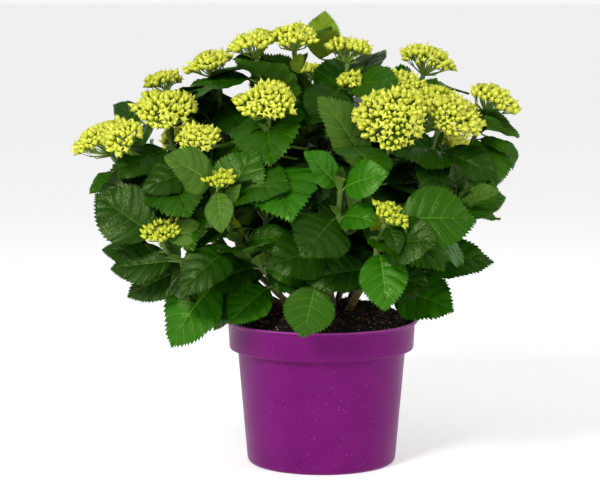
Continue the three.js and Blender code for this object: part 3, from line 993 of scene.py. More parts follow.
for number, settings in enumerate(leaf_kinds):
    points, faces, parts = blade(40 + number, **settings)
    shape = to_object(f"leaf_{number}", points / MM, faces)
    smooth(shape)
    store(shape, "leaf_part", "INT", parts, "FACE")
    sides_of_edge = {}
    for face, part in zip(shape.data.polygons, parts):
        for key in face.edge_keys:
            sides_of_edge.setdefault(key, set()).add(part == UNDER)
    for edge in shape.data.edges:
        edge.use_edge_sharp = len(sides_of_edge[edge.key]) == 2
    keep_shape(shape, leaf_shapes)
    tip = points[np.argmax(points[:, 1] ** 2 + points[:, 2] ** 2)]
    leaf_tips.append(tip)
    picks = np.linspace(0, len(points) - 1, MARKS_OF_LEAF).astype(int)
    leaf_marks.append(np.vstack([points[picks], tip]))
print("one leaf has", sum(len(face) - 2 for face in faces), "triangles")

# %% [markdown]
# ## Leaf colours
#
# On the bush no two sprays have quite the same green: old leaves low down are darker and glossy,
# and the newest are nearly yellow. The tints are also lit and shaded copies of that green: deep and
# dark are painted shade for leaves low down and inside the bush, and bright is painted light for
# leaves that face the lamps. Each leaf is dealt one tint, and its blade, its veins and its underside
# are separate finishes of that tint, with a plain colour each. The gloss and the net of small veins
# come from the shared groups.

# %% Leaf finishes
# Blade and rib colour of each tint. Deep and dark are painted shade, bright is painted light; matte is a
# paler, duller green and young the yellow of new leaves.
tints = {
    "deep": ((12, 38, 0), (32, 62, 4)),
    "dark": ((19, 55, 0), (46, 86, 10)),
    "mid": ((33, 78, 0), (70, 114, 18)),
    "bright": ((38, 97, 4), (88, 138, 30)),
    "matte": ((62, 98, 26), (102, 138, 52)),
    "young": ((134, 162, 20), (172, 194, 56)),
}
DEEP_SHADE, DARK, MID, LIT_BRIGHT, MATTE, LIME = range(6)
UNDERSIDE = (112, 142, 66)
WARM_SHINE = (0.78, 1.0, 0.4, 1.0)
dull = {"matte": 0.16, "young": 0.1}
leaf_finishes = []
for tint, (blade_colour, rib_colour) in tints.items():
    more = dull.get(tint, 0)
    under = [part + (pale - part) * 0.45 for part, pale in zip(blade_colour, UNDERSIDE)]
    leaf_finishes.append([
        soft_finish(f"leaf_{tint}", blade_colour, 0.25 + more, 0.45 + more, relief=0.26, cells=300.0,
                    shine=0.3, patches=55.0, grain=700.0, tint=WARM_SHINE),
        soft_finish(f"rib_{tint}", rib_colour, 0.3 + more, 0.45 + more, relief=0.15, shine=0.2,
                    grain=900.0, tint=WARM_SHINE),
        soft_finish(f"under_{tint}", under, 0.6, 0.75, relief=0.3, cells=300.0, shine=0.1,
                    grain=700.0, tint=WARM_SHINE),
    ])
print("leaf finishes", sum(map(len, leaf_finishes)))

# %% [markdown]
# ## Growing leaves
#
# Leaves stand in opposite pairs, and each pair is turned a quarter from the one below it. The rule
# walks down every shoot from its flower head, places a pair at each joint, and tries a few seeded
# variations of every leaf. Each has a cost: for leaving the frame's masses, for reaching into the pot,
# for shading a flower head, for filling one of the frame's gaps and for lying close to a neighbour. The
# cheapest is kept. These are costs and not bans, and a posed leaf isn't weighed at all, so in a
# bush this dense many leaves still touch or cross each other, and some a cane or a head. Most leaves
# turn their upper side up and outwards, to the light.

# %% What a leaf is weighed against
def surface_of(nodes):
    """One surface of several of the frame's solids, to ask what is near or in the way."""
    points, faces = [], []
    for node in nodes:
        mesh = frame["nodes"][node].data
        first = len(points)
        points += [vertex.co / MM for vertex in mesh.vertices]
        faces += [[first + k for k in face.vertices] for face in mesh.polygons]
    return BVHTree.FromPolygons(points, faces)


crown, whole = surface_of(masses), surface_of(sorted(frame["nodes"]))
eye = np.array(camera.location) / MM
bush_middle = np.array([-6.0, 0.0, 300.0])
draw = np.random.default_rng(2024)
leaves, stalks, marks = [], [], np.zeros((0, 3))
STALK = 0.17  # a leaf's stalk, as a share of its blade
MOST_COST = 22  # a leaf that fits worse than this is left off


def outside(point):
    """How far a point lies outside the masses of the frame."""
    nearest, normal, _, distance = crown.find_nearest(Vector(point))
    return distance if (Vector(point) - nearest).dot(normal) > 0 else 0.0


def light_from(point):
    """The way a leaf's upper side would like to face: up, and out of the bush."""
    out = point - bush_middle
    out[2] *= 0.3
    return unit(UP * 0.8 + 1.05 * out / (np.linalg.norm(out) + 40))


def leaf_turn(kind, way, facing):
    """The turn that lays a leaf's stalk-to-tip line along a way, with its upper side to the light."""
    tip = leaf_tips[kind]
    inner = unit((0, tip[1], tip[2]))
    own = np.stack([(1, 0, 0), inner, (0, -inner[2], inner[1])], axis=1)
    facing = unit(facing - np.dot(facing, way) * way)
    world_axes = np.stack([np.cross(way, facing), way, facing], axis=1)
    return world_axes @ own.T


def head_shade(points):
    """How many points lie in a flower head or over it, and how many in the clear air before it."""
    clear_above, in_front, front_weight = 45, -8, 0.7
    total = 0
    for head in heads.values():
        if head["kind"] == "tiny":
            continue
        axis, radius = head["axis"], head["radius"]
        offset = points - head["centre"]
        height = offset @ axis
        side = np.linalg.norm(offset - np.outer(height, axis), axis=1)
        inside = (height > -0.25 * radius) & (height < clear_above) & (side < radius * 0.98)
        total += inside.sum()
        hang = 0.2 + 0.9 * np.hypot(axis[0], axis[1])
        seen = (offset[:, 1] < in_front) & (np.abs(offset[:, 0]) < radius * 0.9)
        total += front_weight * (seen & (offset[:, 2] > -hang * radius)
                                 & (offset[:, 2] < radius)).sum()
    return total


def in_gaps(points):
    """How many points low beside the pot are where a look from the front meets no solid at all."""
    beside, low = 95, 340
    return sum(whole.ray_cast(Vector(eye), Vector(point - eye))[0] is None for point in points
               if abs(point[0]) > beside and point[2] < low)


def in_pot(points):
    """How many points lie in or just over the compost and the pot's rim."""
    past_lip = 116
    radius = np.hypot(points[:, 0], points[:, 1])
    just_over = np.interp(radius, [80, 112], [192, 178])
    return ((radius < past_lip) & (points[:, 2] < just_over)).sum()


def cost_of(points):
    """What a leaf with these marks costs: the less, the better it fits."""
    free_reach, elbow_room, far_enough = 6, 8, 40
    far = sum(max(0.0, outside(point) - free_reach) ** 2 for point in points) / 60
    near = 0.0
    if len(marks):
        gap = np.linalg.norm(points[:, None] - marks[None], axis=2).min(1)
        near = (np.maximum(0, elbow_room - gap) ** 2).sum() / 30
        near -= np.minimum(gap, far_enough).mean() / 14
    return far + near + 4 * head_shade(points) + 5 * in_pot(points) + 3.5 * in_gaps(points)


def keep_leaf(base, way, facing, length, kind, tint, joint, joint_way, breadth=1.0):
    """Keeps a leaf, its marks, which count against later leaves, and the stalk to its joint."""
    global marks
    turn = leaf_turn(kind, way, facing)
    leaves.append(dict(base=base, turn=turn, length=length, kind=kind, tint=tint, breadth=breadth))
    marks = np.vstack([marks, base + length * (leaf_marks[kind] * (breadth, 1, 1)) @ turn.T])
    blade_way = turn @ (0, 1, 0)
    path = arc(joint, unit(joint_way), base + blade_way * 0.06 * length, blade_way, 8, 0.8)
    stalks.append((path, 0.8 + length / 105, 0.6 + length / 150))


def best_leaf(joint, side, axis, length, kinds, tint, rises=(-0.75, 0.3), tries=9):
    """Tries a few leaves at a joint and keeps the one that fits best, unless none fits well."""
    best = None
    for _ in range(tries):
        yaw, rise = draw.normal(0, 0.28), draw.uniform(*rises)
        kind = kinds[draw.integers(len(kinds))]
        size = length * draw.uniform(0.86, 1.08)
        across = np.cross(axis, side)
        out = unit(side * math.cos(yaw) + across * math.sin(yaw))
        leaving = unit(out * 0.8 + axis * 0.6)
        base = joint + leaving * size * STALK + UP * size * 0.02
        way = unit(out + axis * 0.25 + UP * rise)
        facing = unit(light_from(base + way * size * 0.5) + draw.normal(0, 0.2, 3))
        turn = leaf_turn(kind, way, facing)
        cost = cost_of(base + size * leaf_marks[kind] @ turn.T)
        if best is None or cost < best[0]:
            best = (cost, base, way, facing, size, kind, leaving)
    cost, base, way, facing, size, kind, leaving = best
    if cost < MOST_COST:
        keep_leaf(base, way, facing, size, kind, tint, joint, leaving, draw.uniform(0.95, 1.12))


# %% Leaves that make the outline
def tip_leaf(name, kind, tint, breadth, shown):
    """The one leaf of a pad-shaped mass, from the pad's inner end to its tip.

    The tip is the end furthest out, but one leaf stands up at the top and one hangs over the rim.
    """
    points = corners("foliage_" + name)
    height = points[:, 2]
    reach = {"crown_leaf": height, "rim_front_leaf": -height}.get(name, np.hypot(*points[:, :2].T))
    tip = points[reach.argmax()]
    base = points[np.linalg.norm(points - tip, axis=1).argmax()]
    flat = np.linalg.svd(points - points.mean(0), full_matrices=False)[2][2]
    flat = flat if np.dot(flat, light_from(tip)) > 0 else -flat
    flat = unit(flat + shown * np.array([0, -1, 0.2]))
    own = np.linalg.norm(leaf_tips[kind][1:])
    length = np.linalg.norm(tip - base) * 0.94 / own
    way = unit(tip - base)
    start = tip - way * length * own
    trunk = np.vstack([limb["path"] for limb in limbs])
    joint = trunk[np.linalg.norm(trunk - start, axis=1).argmin()]
    keep_leaf(start, way, flat, length, kind, tint, joint, unit(way + UP * 0.3), breadth)


# Each leaf's shape, tint and breadth, and how far its upper side is turned to the front.
outline_leaves = {
    "low_left_leaf": (1, LIT_BRIGHT, 1.15, 1.6), "left_tip_leaf": (0, DARK, 0.85, 1.6),
    "left_mid_leaf": (5, DARK, 0.9, 1.6), "left_big_leaf": (5, DEEP_SHADE, 1.15, 1.6),
    "upper_left_leaf": (6, DARK, 1.0, 0.6), "rim_front_leaf": (0, MID, 1.25, 1.6),
    "rim_left_leaf": (0, LIT_BRIGHT, 1.1, 1.0), "side_low_leaf": (1, MID, 1.0, 1.0),
    "low_right_leaf": (5, LIT_BRIGHT, 1.15, 1.8), "right_mid_leaf": (0, MID, 0.9, 1.4),
    "right_high_leaf": (0, MID, 1.0, 2.0), "far_right_leaf": (2, MID, 1.1, 1.0),
    "crown_leaf": (5, LIME, 1.0, 0.0),
}
for name, settings in outline_leaves.items():
    tip_leaf(name, *settings)
print("outline leaves", len(leaves))

# %% [markdown]
# ## Leaves that give the bush its face
#
# The pairs round the nearest shoots are the ones a visitor remembers, so they don't follow chance.
# Each leaf is posed one by one on its own shoot: the joint it springs from, counted down from the
# head, the bearing it points to (270 is the front, 180 the left), how steeply it rises or hangs, and
# its length, shape, tint and breadth.

# %% Leaves posed one by one
TO_FRONT = 1.2 * np.array([0, -1, 0.2])
posed_leaves = {
    "front": [
        (0, 215, 40, 60, 3, LIT_BRIGHT, 0.9), (0, 325, 15, 60, 1, LIT_BRIGHT, 1.1),
        (1, 235, -30, 75, PUCKERED, DARK, 1.2), (1, 315, -5, 55, 2, LIT_BRIGHT, 1.0),
        (2, 60, 65, 80, FLAT, DARK, 1.1), (2, 210, -15, 80, 0, DARK, 1.1),
        (3, 205, 5, 75, 1, MID, 1.0), (3, 330, 0, 70, 1, DARK, 1.0),
    ],
    "low_front_right": [
        (0, 5, 0, 90, 0, MID, 1.15), (0, 295, -45, 40, NARROW, DARK, 1.0),
        (1, 320, 5, 75, 1, DARK, 1.15), (1, 285, -60, 70, 3, LIT_BRIGHT, 1.1),
        (2, 200, -5, 75, 1, DARK, 1.0), (2, 340, -15, 65, 0, DARK, 0.9),
        (3, 200, 30, 60, 1, DARK, 1.0), (3, 20, 0, 70, 0, DARK, 1.0),
    ],
    "front_left": [
        (0, 215, 25, 70, 3, MATTE, 1.1), (0, 285, -60, 50, NARROW, MATTE, 1.1),
        (1, 30, 60, 75, 0, MID, 1.2), (1, 310, 50, 45, NARROW, MATTE, 0.8),
        (2, 210, -35, 85, 1, DARK, 1.0), (2, 340, 10, 60, NARROW, MID, 0.9),
        (3, 215, -15, 75, 0, DARK, 1.0), (3, 330, -10, 75, 0, DARK, 1.0),
    ],
    "low_left": [
        (0, 165, 30, 85, FLAT, DARK, 1.15), (0, 350, 15, 50, 3, MATTE, 0.9),
        (1, 170, -10, 75, FLAT, DARK, 0.95), (1, 300, -45, 55, 0, DEEP_SHADE, 1.0),
        (2, 185, -20, 60, 3, MID, 0.8),
    ],
    "right": [
        (0, 240, 70, 45, NARROW, DEEP_SHADE, 0.9), (0, 320, 15, 55, NARROW, MATTE, 0.8),
        (1, 20, 45, 75, 0, MID, 1.0), (1, 215, -25, 65, 1, DARK, 0.9),
    ],
    "far_right": [(1, 285, -45, 70, 1, MID, 1.1), (1, 325, -20, 50, NARROW, MID, 0.8)],
    "far_left": [(1, 215, -20, 55, 1, MID, 0.9), (1, 330, -30, 60, 0, MID, 1.0)],
    "left": [(1, 220, -25, 75, 0, DARK, 1.1), (1, 310, -35, 75, 1, DARK, 1.1)],
    "inner_left": [(1, 200, -15, 70, 1, DARK, 1.1), (1, 330, -20, 70, 0, DARK, 1.1)],
    "upper_left": [(1, 235, -20, 75, 3, DARK, 1.1), (1, 300, -30, 75, 0, DARK, 1.0)],
    "crown_right": [(1, 320, 0, 75, 3, MID, 1.0), (1, 240, -30, 80, 1, DARK, 1.1)],
    "right_front": [(1, 335, -25, 75, 1, DARK, 1.0), (1, 270, -45, 75, 0, DARK, 1.0)],
}
# How far below its head each joint of a shoot is.
JOINTS = {"full": (5, 34, 76, 124, 172, 220), "young": (5, 40, 84, 130, 176, 220),
          "tiny": (7, 40, 82, 126, 170, 214)}
for limb in limbs:
    path = limb["path"]
    for number, towards, rise, length, kind, tint, breadth in posed_leaves.get(limb["shoot"], []):
        k = len(path) - 1 - int(JOINTS[heads[limb["shoot"]]["kind"]][number] / GAP)
        way = bearing(towards, rise)
        leaving = unit(way * 0.8 + axis_at(path, k) * 0.6)
        base = path[k] + leaving * length * STALK
        facing = light_from(base + way * length * 0.5) + TO_FRONT
        keep_leaf(base, way, facing, length, kind, tint, path[k], leaving, breadth)
print("leaves posed by eye", sum(map(len, posed_leaves.values())))

# %% Pairs down every shoot
# How long the blades are at the same joints.
LENGTHS = {"full": (76, 100, 116, 116, 104, 92), "young": (66, 92, 106, 104, 94, 84),
           "tiny": (74, 100, 110, 104, 94, 84)}
for limb in limbs:
    name = limb["shoot"]
    head = heads.get(name)
    posed = {joint for joint, *_ in posed_leaves.get(name, [])}
    path = limb["path"]
    draw = np.random.default_rng((7, len(path), int(path[-1][0]) + 500))
    first = draw.uniform(0, math.pi)
    kind = head["kind"] if head else "tiny"
    limb["joints"] = []
    pairs = list(zip(JOINTS[kind], LENGTHS[kind]))[:1 if name in side_heads else None]
    for number, (down, length) in enumerate(pairs):
        k = len(path) - 1 - int(down / GAP)
        if k < 5 or path[k][2] < mound_top + BARE_FOOT:
            break
        limb["joints"].append(k)
        axis = axis_at(path, k)
        if number in posed:
            continue
        level = unit(np.cross(axis, UP + 0.01))
        turn = first + number * math.pi / 2 + draw.normal(0, 0.12)
        side = level * math.cos(turn) + np.cross(axis, level) * math.sin(turn)
        height = (path[k][2] - mound_top) / 300
        for sign in (1, -1):
            out = unit(side * sign)
            # Painted light and shade: a leaf high up that faces out to the light gets a paler tint, up
            # to matte, and one low down that faces in gets a deeper one.
            lit = 0.5 * height + 0.35 * np.dot(out, light_from(path[k])) + draw.normal(0, 0.16)
            tint = [DEEP_SHADE, DARK, MID, LIT_BRIGHT, MATTE][int(np.clip(lit * 5 + 0.8, 0, 4))]
            if number == 0:
                best_leaf(path[k], out, axis, length, (0, 3, 6), max(tint, DARK), rises=(-0.6, 0.2))
            else:
                best_leaf(path[k], out, axis, length, (0, 1, 2, 3, 4, 5, 8), tint)
print("leaves on shoots", len(leaves))

# %% [markdown]
# ## Filling the bush
#
# A living bush leaves no lit hole in its crown: side twigs grow to where there is light. The rule
# marks places through every mass, finds the place that is furthest from any leaf, sends a twig there
# from the nearest limb, and repeats until no place is bare or enough twigs have grown. A skirt of
# places just above the compost brings leaves down towards the feet of the canes, and small new leaves
# stand in the corners of the older ones.

# %% Places that want a leaf
IN_MASS, IN_HEART = 16, 26
SKIRT = ((74, 222), (104, 226), (126, 222))  # how far out and how high
places = []
for node in masses:
    points = corners(node)
    middle = points.mean(0)
    mesh = frame["nodes"][node].data
    for _ in range(IN_HEART if "heart" in node else IN_MASS):
        face = mesh.polygons[int(draw.integers(len(mesh.polygons)))]
        share = draw.dirichlet((1, 1, 1))
        on_face = sum(points[vertex] * part for vertex, part in zip(face.vertices, share))
        places.append(middle + (on_face - middle) * draw.uniform(0.3, 0.9))
for turn in range(0, 360, 20):
    for reach, height in SKIRT:
        out = bearing(turn + draw.uniform(-8, 8))
        places.append(out * reach + UP * (height + draw.uniform(-8, 12)))
places = np.array(places)
print("places that want a leaf", len(places))

# %% Twigs and leaves that fill them
MOST_TWIGS, LONGEST_STALK, BARE = 230, 34, 20.0
filling_kinds = (0, 1, 2, 3, 5)
trunk = np.vstack([limb["path"][6:] for limb in limbs])
trunk_way = np.vstack([np.gradient(limb["path"], axis=0)[6:] for limb in limbs])
filled = 0
open_place = np.ones(len(places), bool)
for _ in range(MOST_TWIGS):
    gap = np.linalg.norm(places[:, None] - marks[None], axis=2).min(1) * open_place
    target = places[gap.argmax()]
    if gap.max() < BARE:
        break
    open_place[gap.argmax()] = False
    draw = np.random.default_rng((11, int(gap.argmax())))
    out = unit(target - bush_middle + draw.normal(0, 12, 3))
    out = unit(out * (1, 1, 0.45))
    length = draw.uniform(78, 108)
    start = target - out * length * 0.55
    distance = np.linalg.norm(trunk - start, axis=1) + 0.6 * np.maximum(0, trunk[:, 2] - start[2])
    near = distance.argmin()
    joint, axis = trunk[near], unit(trunk_way[near])
    # Painted shade: a leaf deep inside the bush gets a deeper tint than one near its surface.
    depth = np.linalg.norm((target - bush_middle) * (1, 1, 1.2)) / 230
    tint = [DEEP_SHADE, DEEP_SHADE, DARK, MID, LIT_BRIGHT][int(np.clip(depth * 4.2 + draw.normal(0, 0.5), 0, 4))]
    span = np.linalg.norm(start - joint)
    if span > LONGEST_STALK:
        twig = arc(joint, unit(axis + out), start - out * length * 0.1, unit(out + UP * 0.5), 10, 0.8)
        stalks.append((twig, 2.2, 1.7))
        joint, axis = twig[-1], unit(twig[-1] - twig[-2])
        side = unit(np.cross(axis, unit(np.cross(out, axis))) + 0.001)
        for sign in (1, -1):
            best_leaf(joint, unit(side * sign + out * 0.5), axis, length, filling_kinds, tint)
        filled += 2
    else:
        best_leaf(joint, out, axis, length, filling_kinds, tint)
        filled += 1
print("filling leaves", filled, "widest bare place", round(gap.max()))

# %% New leaves in the corners
for limb in limbs:
    draw = np.random.default_rng((13, len(limb["path"]), int(limb["path"][-1][0]) + 500))
    for number, k in enumerate(limb["joints"]):
        tiny_head = limb["shoot"] in heads and heads[limb["shoot"]]["kind"] == "tiny"
        chance = 0.45 if number else 1.0 if tiny_head else 0.0
        for side in (0, 180):
            if draw.uniform() > chance:
                continue
            point, axis = limb["path"][k], axis_at(limb["path"], k)
            out = bearing(draw.uniform(0, 90) + side + 45)
            way = unit(axis + 0.75 * out)
            length = draw.uniform(24, 44)
            keep_leaf(point + way * 5, way, unit(-out + 0.8 * UP), length, YOUNG,
                      LIME if draw.uniform() < 0.3 else MATTE, point, way)
print("all leaves", len(leaves), "stalks and twigs", len(stalks))


# %% The tree that hangs the leaves
def leaf_tree():
    """Hangs a leaf shape on each point, as that point says, and deals out the finishes."""
    tree, inlet, outlet = group(
        "hung_leaves", "GeometryNodeTree",
        [("Geometry", "Geometry", None), ("Shapes", "Collection", None)], [("Geometry", "Geometry")])
    turn = add(tree, "FunctionNodeEulerToRotation", {0: said(tree, "turn", "FLOAT_VECTOR")})
    hung = add(tree, "GeometryNodeInstanceOnPoints", {
        "Points": inlet.outputs["Geometry"], "Instance": shapes_of(tree, inlet),
        "Pick Instance": True, "Instance Index": said(tree, "kind", "INT"),
        "Rotation": turn.outputs[0], "Scale": said(tree, "size", "FLOAT_VECTOR")})
    geometry = made_real(tree, hung.outputs[0])
    code = maths(tree, "MULTIPLY_ADD", said(tree, "tint", "INT"), 3.0, said(tree, "leaf_part", "INT"))
    for number, finish in enumerate(sum(leaf_finishes, [])):
        same = add(tree, "FunctionNodeCompare", {0: code, 1: float(number), "Epsilon": 0.1},
                   data_type="FLOAT", operation="EQUAL")
        geometry = finished(tree, geometry, finish, Selection=same.outputs[0])
    tree.links.new(geometry, outlet.inputs["Geometry"])
    return tree


# %% Hanging the leaves
def quarter_of(point):
    side = "left" if point[0] < bush_middle[0] else "right"
    return ("front_" if point[1] < bush_middle[1] else "back_") + side


def mass_quarter(node):
    low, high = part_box(node)
    return quarter_of((low + high) / 2 / MM)


def leaf_quarter(leaf):
    return quarter_of(leaf["base"] + leaf["turn"] @ leaf_tips[leaf["kind"]] * leaf["length"] * 0.5)


def leaf_size(leaf):
    """How much the leaf's shape is stretched across, along and upwards, in metres."""
    length = leaf["length"] * MM
    return leaf["length"] * leaf["breadth"] * MM, length, length


hanging = leaf_tree()
for quarter in ("front_left", "front_right", "back_left", "back_right"):
    chosen = [leaf for leaf in leaves if leaf_quarter(leaf) == quarter]
    plan = to_object(f"leaves_{quarter}_plan", [leaf["base"] for leaf in chosen], [])
    store(plan, "turn", "FLOAT_VECTOR",
          [Matrix(leaf["turn"].tolist()).to_euler()[:] for leaf in chosen])
    store(plan, "size", "FLOAT_VECTOR", [leaf_size(leaf) for leaf in chosen])
    for label in ("kind", "tint"):
        store(plan, label, "INT", [leaf[label] for leaf in chosen])
    spray = grow(plan, hanging, {"Shapes": leaf_shapes})
    fit(spray, "leaf_green", *[node for node in masses if mass_quarter(node) == quarter])

# %% [markdown]
# ## Canes, shoots, twigs and leaf stalks
#
# Canes, shoots, twigs and leaf stalks are all round, follow a path and taper, so one tree makes them:
# it carries a small circle along each path, sized by the path's own radius. Old wood gets a relief
# of cracks that fades as the cane turns green, and every joint a slight ring.

# %% The tree that skins the limbs
def limb_tree():
    tree, inlet, outlet = group(
        "skinned_limbs", "GeometryNodeTree",
        [("Geometry", "Geometry", None), ("Sides", "Int", 10), ("Bark Depth", "Float", 0.0006),
         ("Bark Scale", "Float", 320.0), ("Finish", "Material", None)],
        [("Geometry", "Geometry")])
    lines = add(tree, "GeometryNodeMeshToCurve", {"Mesh": inlet.outputs["Geometry"]})
    ring = add(tree, "GeometryNodeCurvePrimitiveCircle",
               {"Resolution": inlet.outputs["Sides"], "Radius": 1.0})
    skin = add(tree, "GeometryNodeCurveToMesh", {
        "Curve": lines.outputs[0], "Profile Curve": ring.outputs["Curve"],
        "Scale": said(tree, "radius_here"), "Fill Caps": True})
    place = add(tree, "GeometryNodeInputPosition")
    drawn_out = vector_maths(tree, "MULTIPLY", place.outputs[0], (1, 1, 0.25))
    cracks = add(tree, "ShaderNodeTexNoise", {
        "Vector": drawn_out, "Scale": inlet.outputs["Bark Scale"], "Detail": 2.0})
    deep = maths(tree, "SUBTRACT", cracks.outputs["Fac"], 0.5)
    share = maths(tree, "MULTIPLY_ADD", said(tree, "old_wood"), 1.0, 0.12)
    depth = maths(tree, "MULTIPLY", maths(tree, "MULTIPLY", deep, share),
                  maths(tree, "MULTIPLY", inlet.outputs["Bark Depth"], 4.0))
    normal = add(tree, "GeometryNodeInputNormal")
    push = vector_maths(tree, "SCALE", normal.outputs[0], depth)
    barked = add(tree, "GeometryNodeSetPosition", {"Geometry": skin.outputs[0], "Offset": push})
    done = finished(tree, barked.outputs[0], inlet.outputs["Finish"])
    tree.links.new(done, outlet.inputs["Geometry"])
    return tree


# %% Bark and green skin
def cane_bark():
    """Brown cracked bark at the foot of a cane, which turns green and pored further up."""
    made, tree, shader = material("cane_bark")
    place = place_on(tree)
    height = add(tree, "ShaderNodeSeparateXYZ", {0: place}).outputs[2]
    noise = add(tree, "ShaderNodeTexNoise", {"Vector": place, "Scale": 60.0, "Detail": 3.0})
    wander = maths(tree, "MULTIPLY_ADD", noise.outputs["Fac"], 0.09, -0.045)
    green = mapped(tree, maths(tree, "ADD", height, wander), (mound_top + 2) * MM,
                   (mound_top + 60) * MM)
    uneven = place_group(tree, mottle, Patches=90.0, Grain=1200.0, Glossy=0.4, Dull=0.65)
    pores = place_group(tree, specks, Scale=520.0, Size=0.28, Share=0.3)
    wood = blend(tree, uneven.outputs["Patch"], linear((58, 36, 22)), linear((92, 66, 42)))
    skin = blend(tree, uneven.outputs["Patch"], linear((62, 92, 22)), linear((98, 128, 40)))
    both = blend(tree, green, wood, skin)
    spotted = blend(tree, maths(tree, "MULTIPLY", pores.outputs["Mask"], 0.6), both,
                    linear((70, 40, 30)))
    tree.links.new(spotted, shader.inputs["Base Color"])
    tree.links.new(uneven.outputs["Roughness"], shader.inputs["Roughness"])
    raise_relief(tree, shader, uneven.outputs["Height"], 0.5, 0.0005)
    return made


stalk_green = soft_finish("stalk_green", (92, 126, 36), 0.4, 0.55, relief=0.2, grain=900.0)


# %% Skinning canes and stalks
def paths_object(name, lines):
    """One object with every path as a line of points that know their radius and their age."""
    points, edges, radii, ages = [], [], [], []
    for path, radius, age in lines:
        first = len(points)
        points += list(path)
        edges += [(first + k, first + k + 1) for k in range(len(path) - 1)]
        radii += list(np.broadcast_to(radius, len(path)) * MM)
        ages += list(np.broadcast_to(age, len(path)))
    made = to_object(name, points, [], edges)
    store(made, "radius_here", "FLOAT", radii)
    store(made, "old_wood", "FLOAT", ages)
    return made


def cane_line(limb):
    """A cane's line, a little thicker at each joint."""
    radius = limb["radius"].copy()
    steps = np.arange(len(radius))
    for joint in limb["joints"]:
        radius *= 1 + 0.28 * np.exp(-((steps - joint) / 1.1) ** 2)
    return limb["path"], radius, limb["old"]


def stalk_line(path, start, end):
    """A leaf stalk's line, which flares where it clasps the shoot."""
    flare = 1 + 0.5 * np.exp(-np.arange(len(path)) * 1.6)
    return path, np.linspace(start, end, len(path)) * flare, 0.0


skinning = limb_tree()
wood = grow(paths_object("canes_plan", map(cane_line, limbs)), skinning,
            {"Finish": cane_bark(), "Sides": 12})
twigs = grow(paths_object("leaf_stalks_plan", (stalk_line(*stalk) for stalk in stalks)), skinning,
             {"Finish": stalk_green, "Sides": 6, "Bark Depth": 0.0001})
smooth(wood)
smooth(twigs)
fit(wood, "stem_bark", *stem_nodes)
fit(twigs, "leaf_green", *masses)

# %% [markdown]
# ## Flower heads in bud
#
# A mophead is a crowd of small florets on forking stalks that end at one level, so from above it is
# a dome. Here every floret is still a bud: four sepals folded to a point, green at the foot and
# pale yellow at the tip. A smooth dome marks the level, a tree spreads buds over it at an even
# spacing, each on its own axis, and a second tree runs the stalks back to the shoot.

# %% Colours of the buds
def bud_finish(name, colour, shine=0.35):
    return soft_finish(name, colour, 0.45, 0.6, relief=0.15, shine=shine, grain=900.0)


bud_pale = bud_finish("bud_pale", (226, 230, 88))
bud_yellow = bud_finish("bud_yellow", (204, 211, 54))
bud_green = bud_finish("bud_green", (140, 164, 32))
bud_young = bud_finish("bud_young", (196, 210, 60))
bud_stalk = bud_finish("bud_stalk", (122, 150, 50), shine=0.5)

# %% Shapes of the buds
FOOT, SIDE, TIP = 0, 1, 2


def bud(name, shelf, rings, tip, twist, finishes):
    """A bud of eight sides: a ring is a height, a radius and how far the four sepals stand out."""
    sides = 8
    points, faces, parts = [], [], []
    for height, radius, lobe in rings:
        for side in range(sides):
            turn = 2 * math.pi / sides * side + twist * height
            size = radius * (1 + (lobe if side % 2 == 0 else -lobe))
            points.append((size * math.cos(turn), size * math.sin(turn), height))
    for ring in range(len(rings) - 1):
        for side in range(sides):
            a, b = sides * ring + side, sides * ring + (side + 1) % sides
            faces.append((a, b, b + sides, a + sides))
            parts.append(SIDE if ring else FOOT)
    last = sides * (len(rings) - 1)
    points.append((0, 0, tip))
    faces += [(last + side, last + (side + 1) % sides, len(points) - 1) for side in range(sides)]
    parts += [TIP] * sides
    faces.append(tuple(range(sides))[::-1])
    parts.append(FOOT)
    made = to_object(name, points, faces)
    smooth(made)
    for face, part in zip(made.data.polygons, parts):
        face.material_index = part
    keep_shape(made, shelf, *finishes)


# Each bud's rings, the height of its tip and its twist. The last ones of a shelf have begun to open.
full_buds = [
    ([(0, 1.2, 0), (3.0, 3.2, 0.08), (6.4, 2.1, 0.28)], 11.5, 0.05),
    ([(0, 1.2, 0), (3.2, 3.5, 0.1), (6.6, 2.4, 0.34)], 11.0, -0.06),
    ([(0, 1.1, 0), (2.8, 2.9, 0.08), (5.6, 1.9, 0.3)], 10.0, 0.08),
    ([(0, 1.1, 0), (3.6, 2.7, 0.16), (7.6, 3.8, 0.52)], 6.0, 0.03),
    ([(0, 1.1, 0), (3.4, 2.8, 0.14), (8.2, 3.3, 0.58)], 6.0, -0.04),
]
small_buds = [
    ([(0, 0.8, 0), (2.0, 2.4, 0.08), (4.6, 1.7, 0.25)], 8.4, 0.05),
    ([(0, 0.8, 0), (2.2, 2.6, 0.1), (4.8, 1.8, 0.3)], 8.8, -0.06),
    ([(0, 0.8, 0), (2.8, 2.0, 0.14), (5.6, 2.6, 0.5)], 4.6, 0.04),
]
bud_kinds = {
    "full": (full_buds, (bud_green, bud_yellow, bud_pale)),
    "young": (small_buds, (bud_green, bud_young, bud_yellow)),
    "tiny": (small_buds, (bud_green, bud_green, bud_young)),
}
bud_shelves = {}
for kind, (shapes, colours) in bud_kinds.items():
    bud_shelves[kind] = bpy.data.collections.new(f"{kind}_buds")
    for number, (rings, tip, twist) in enumerate(shapes):
        bud(f"{kind}_bud_{number}", bud_shelves[kind], rings, tip, twist, colours)

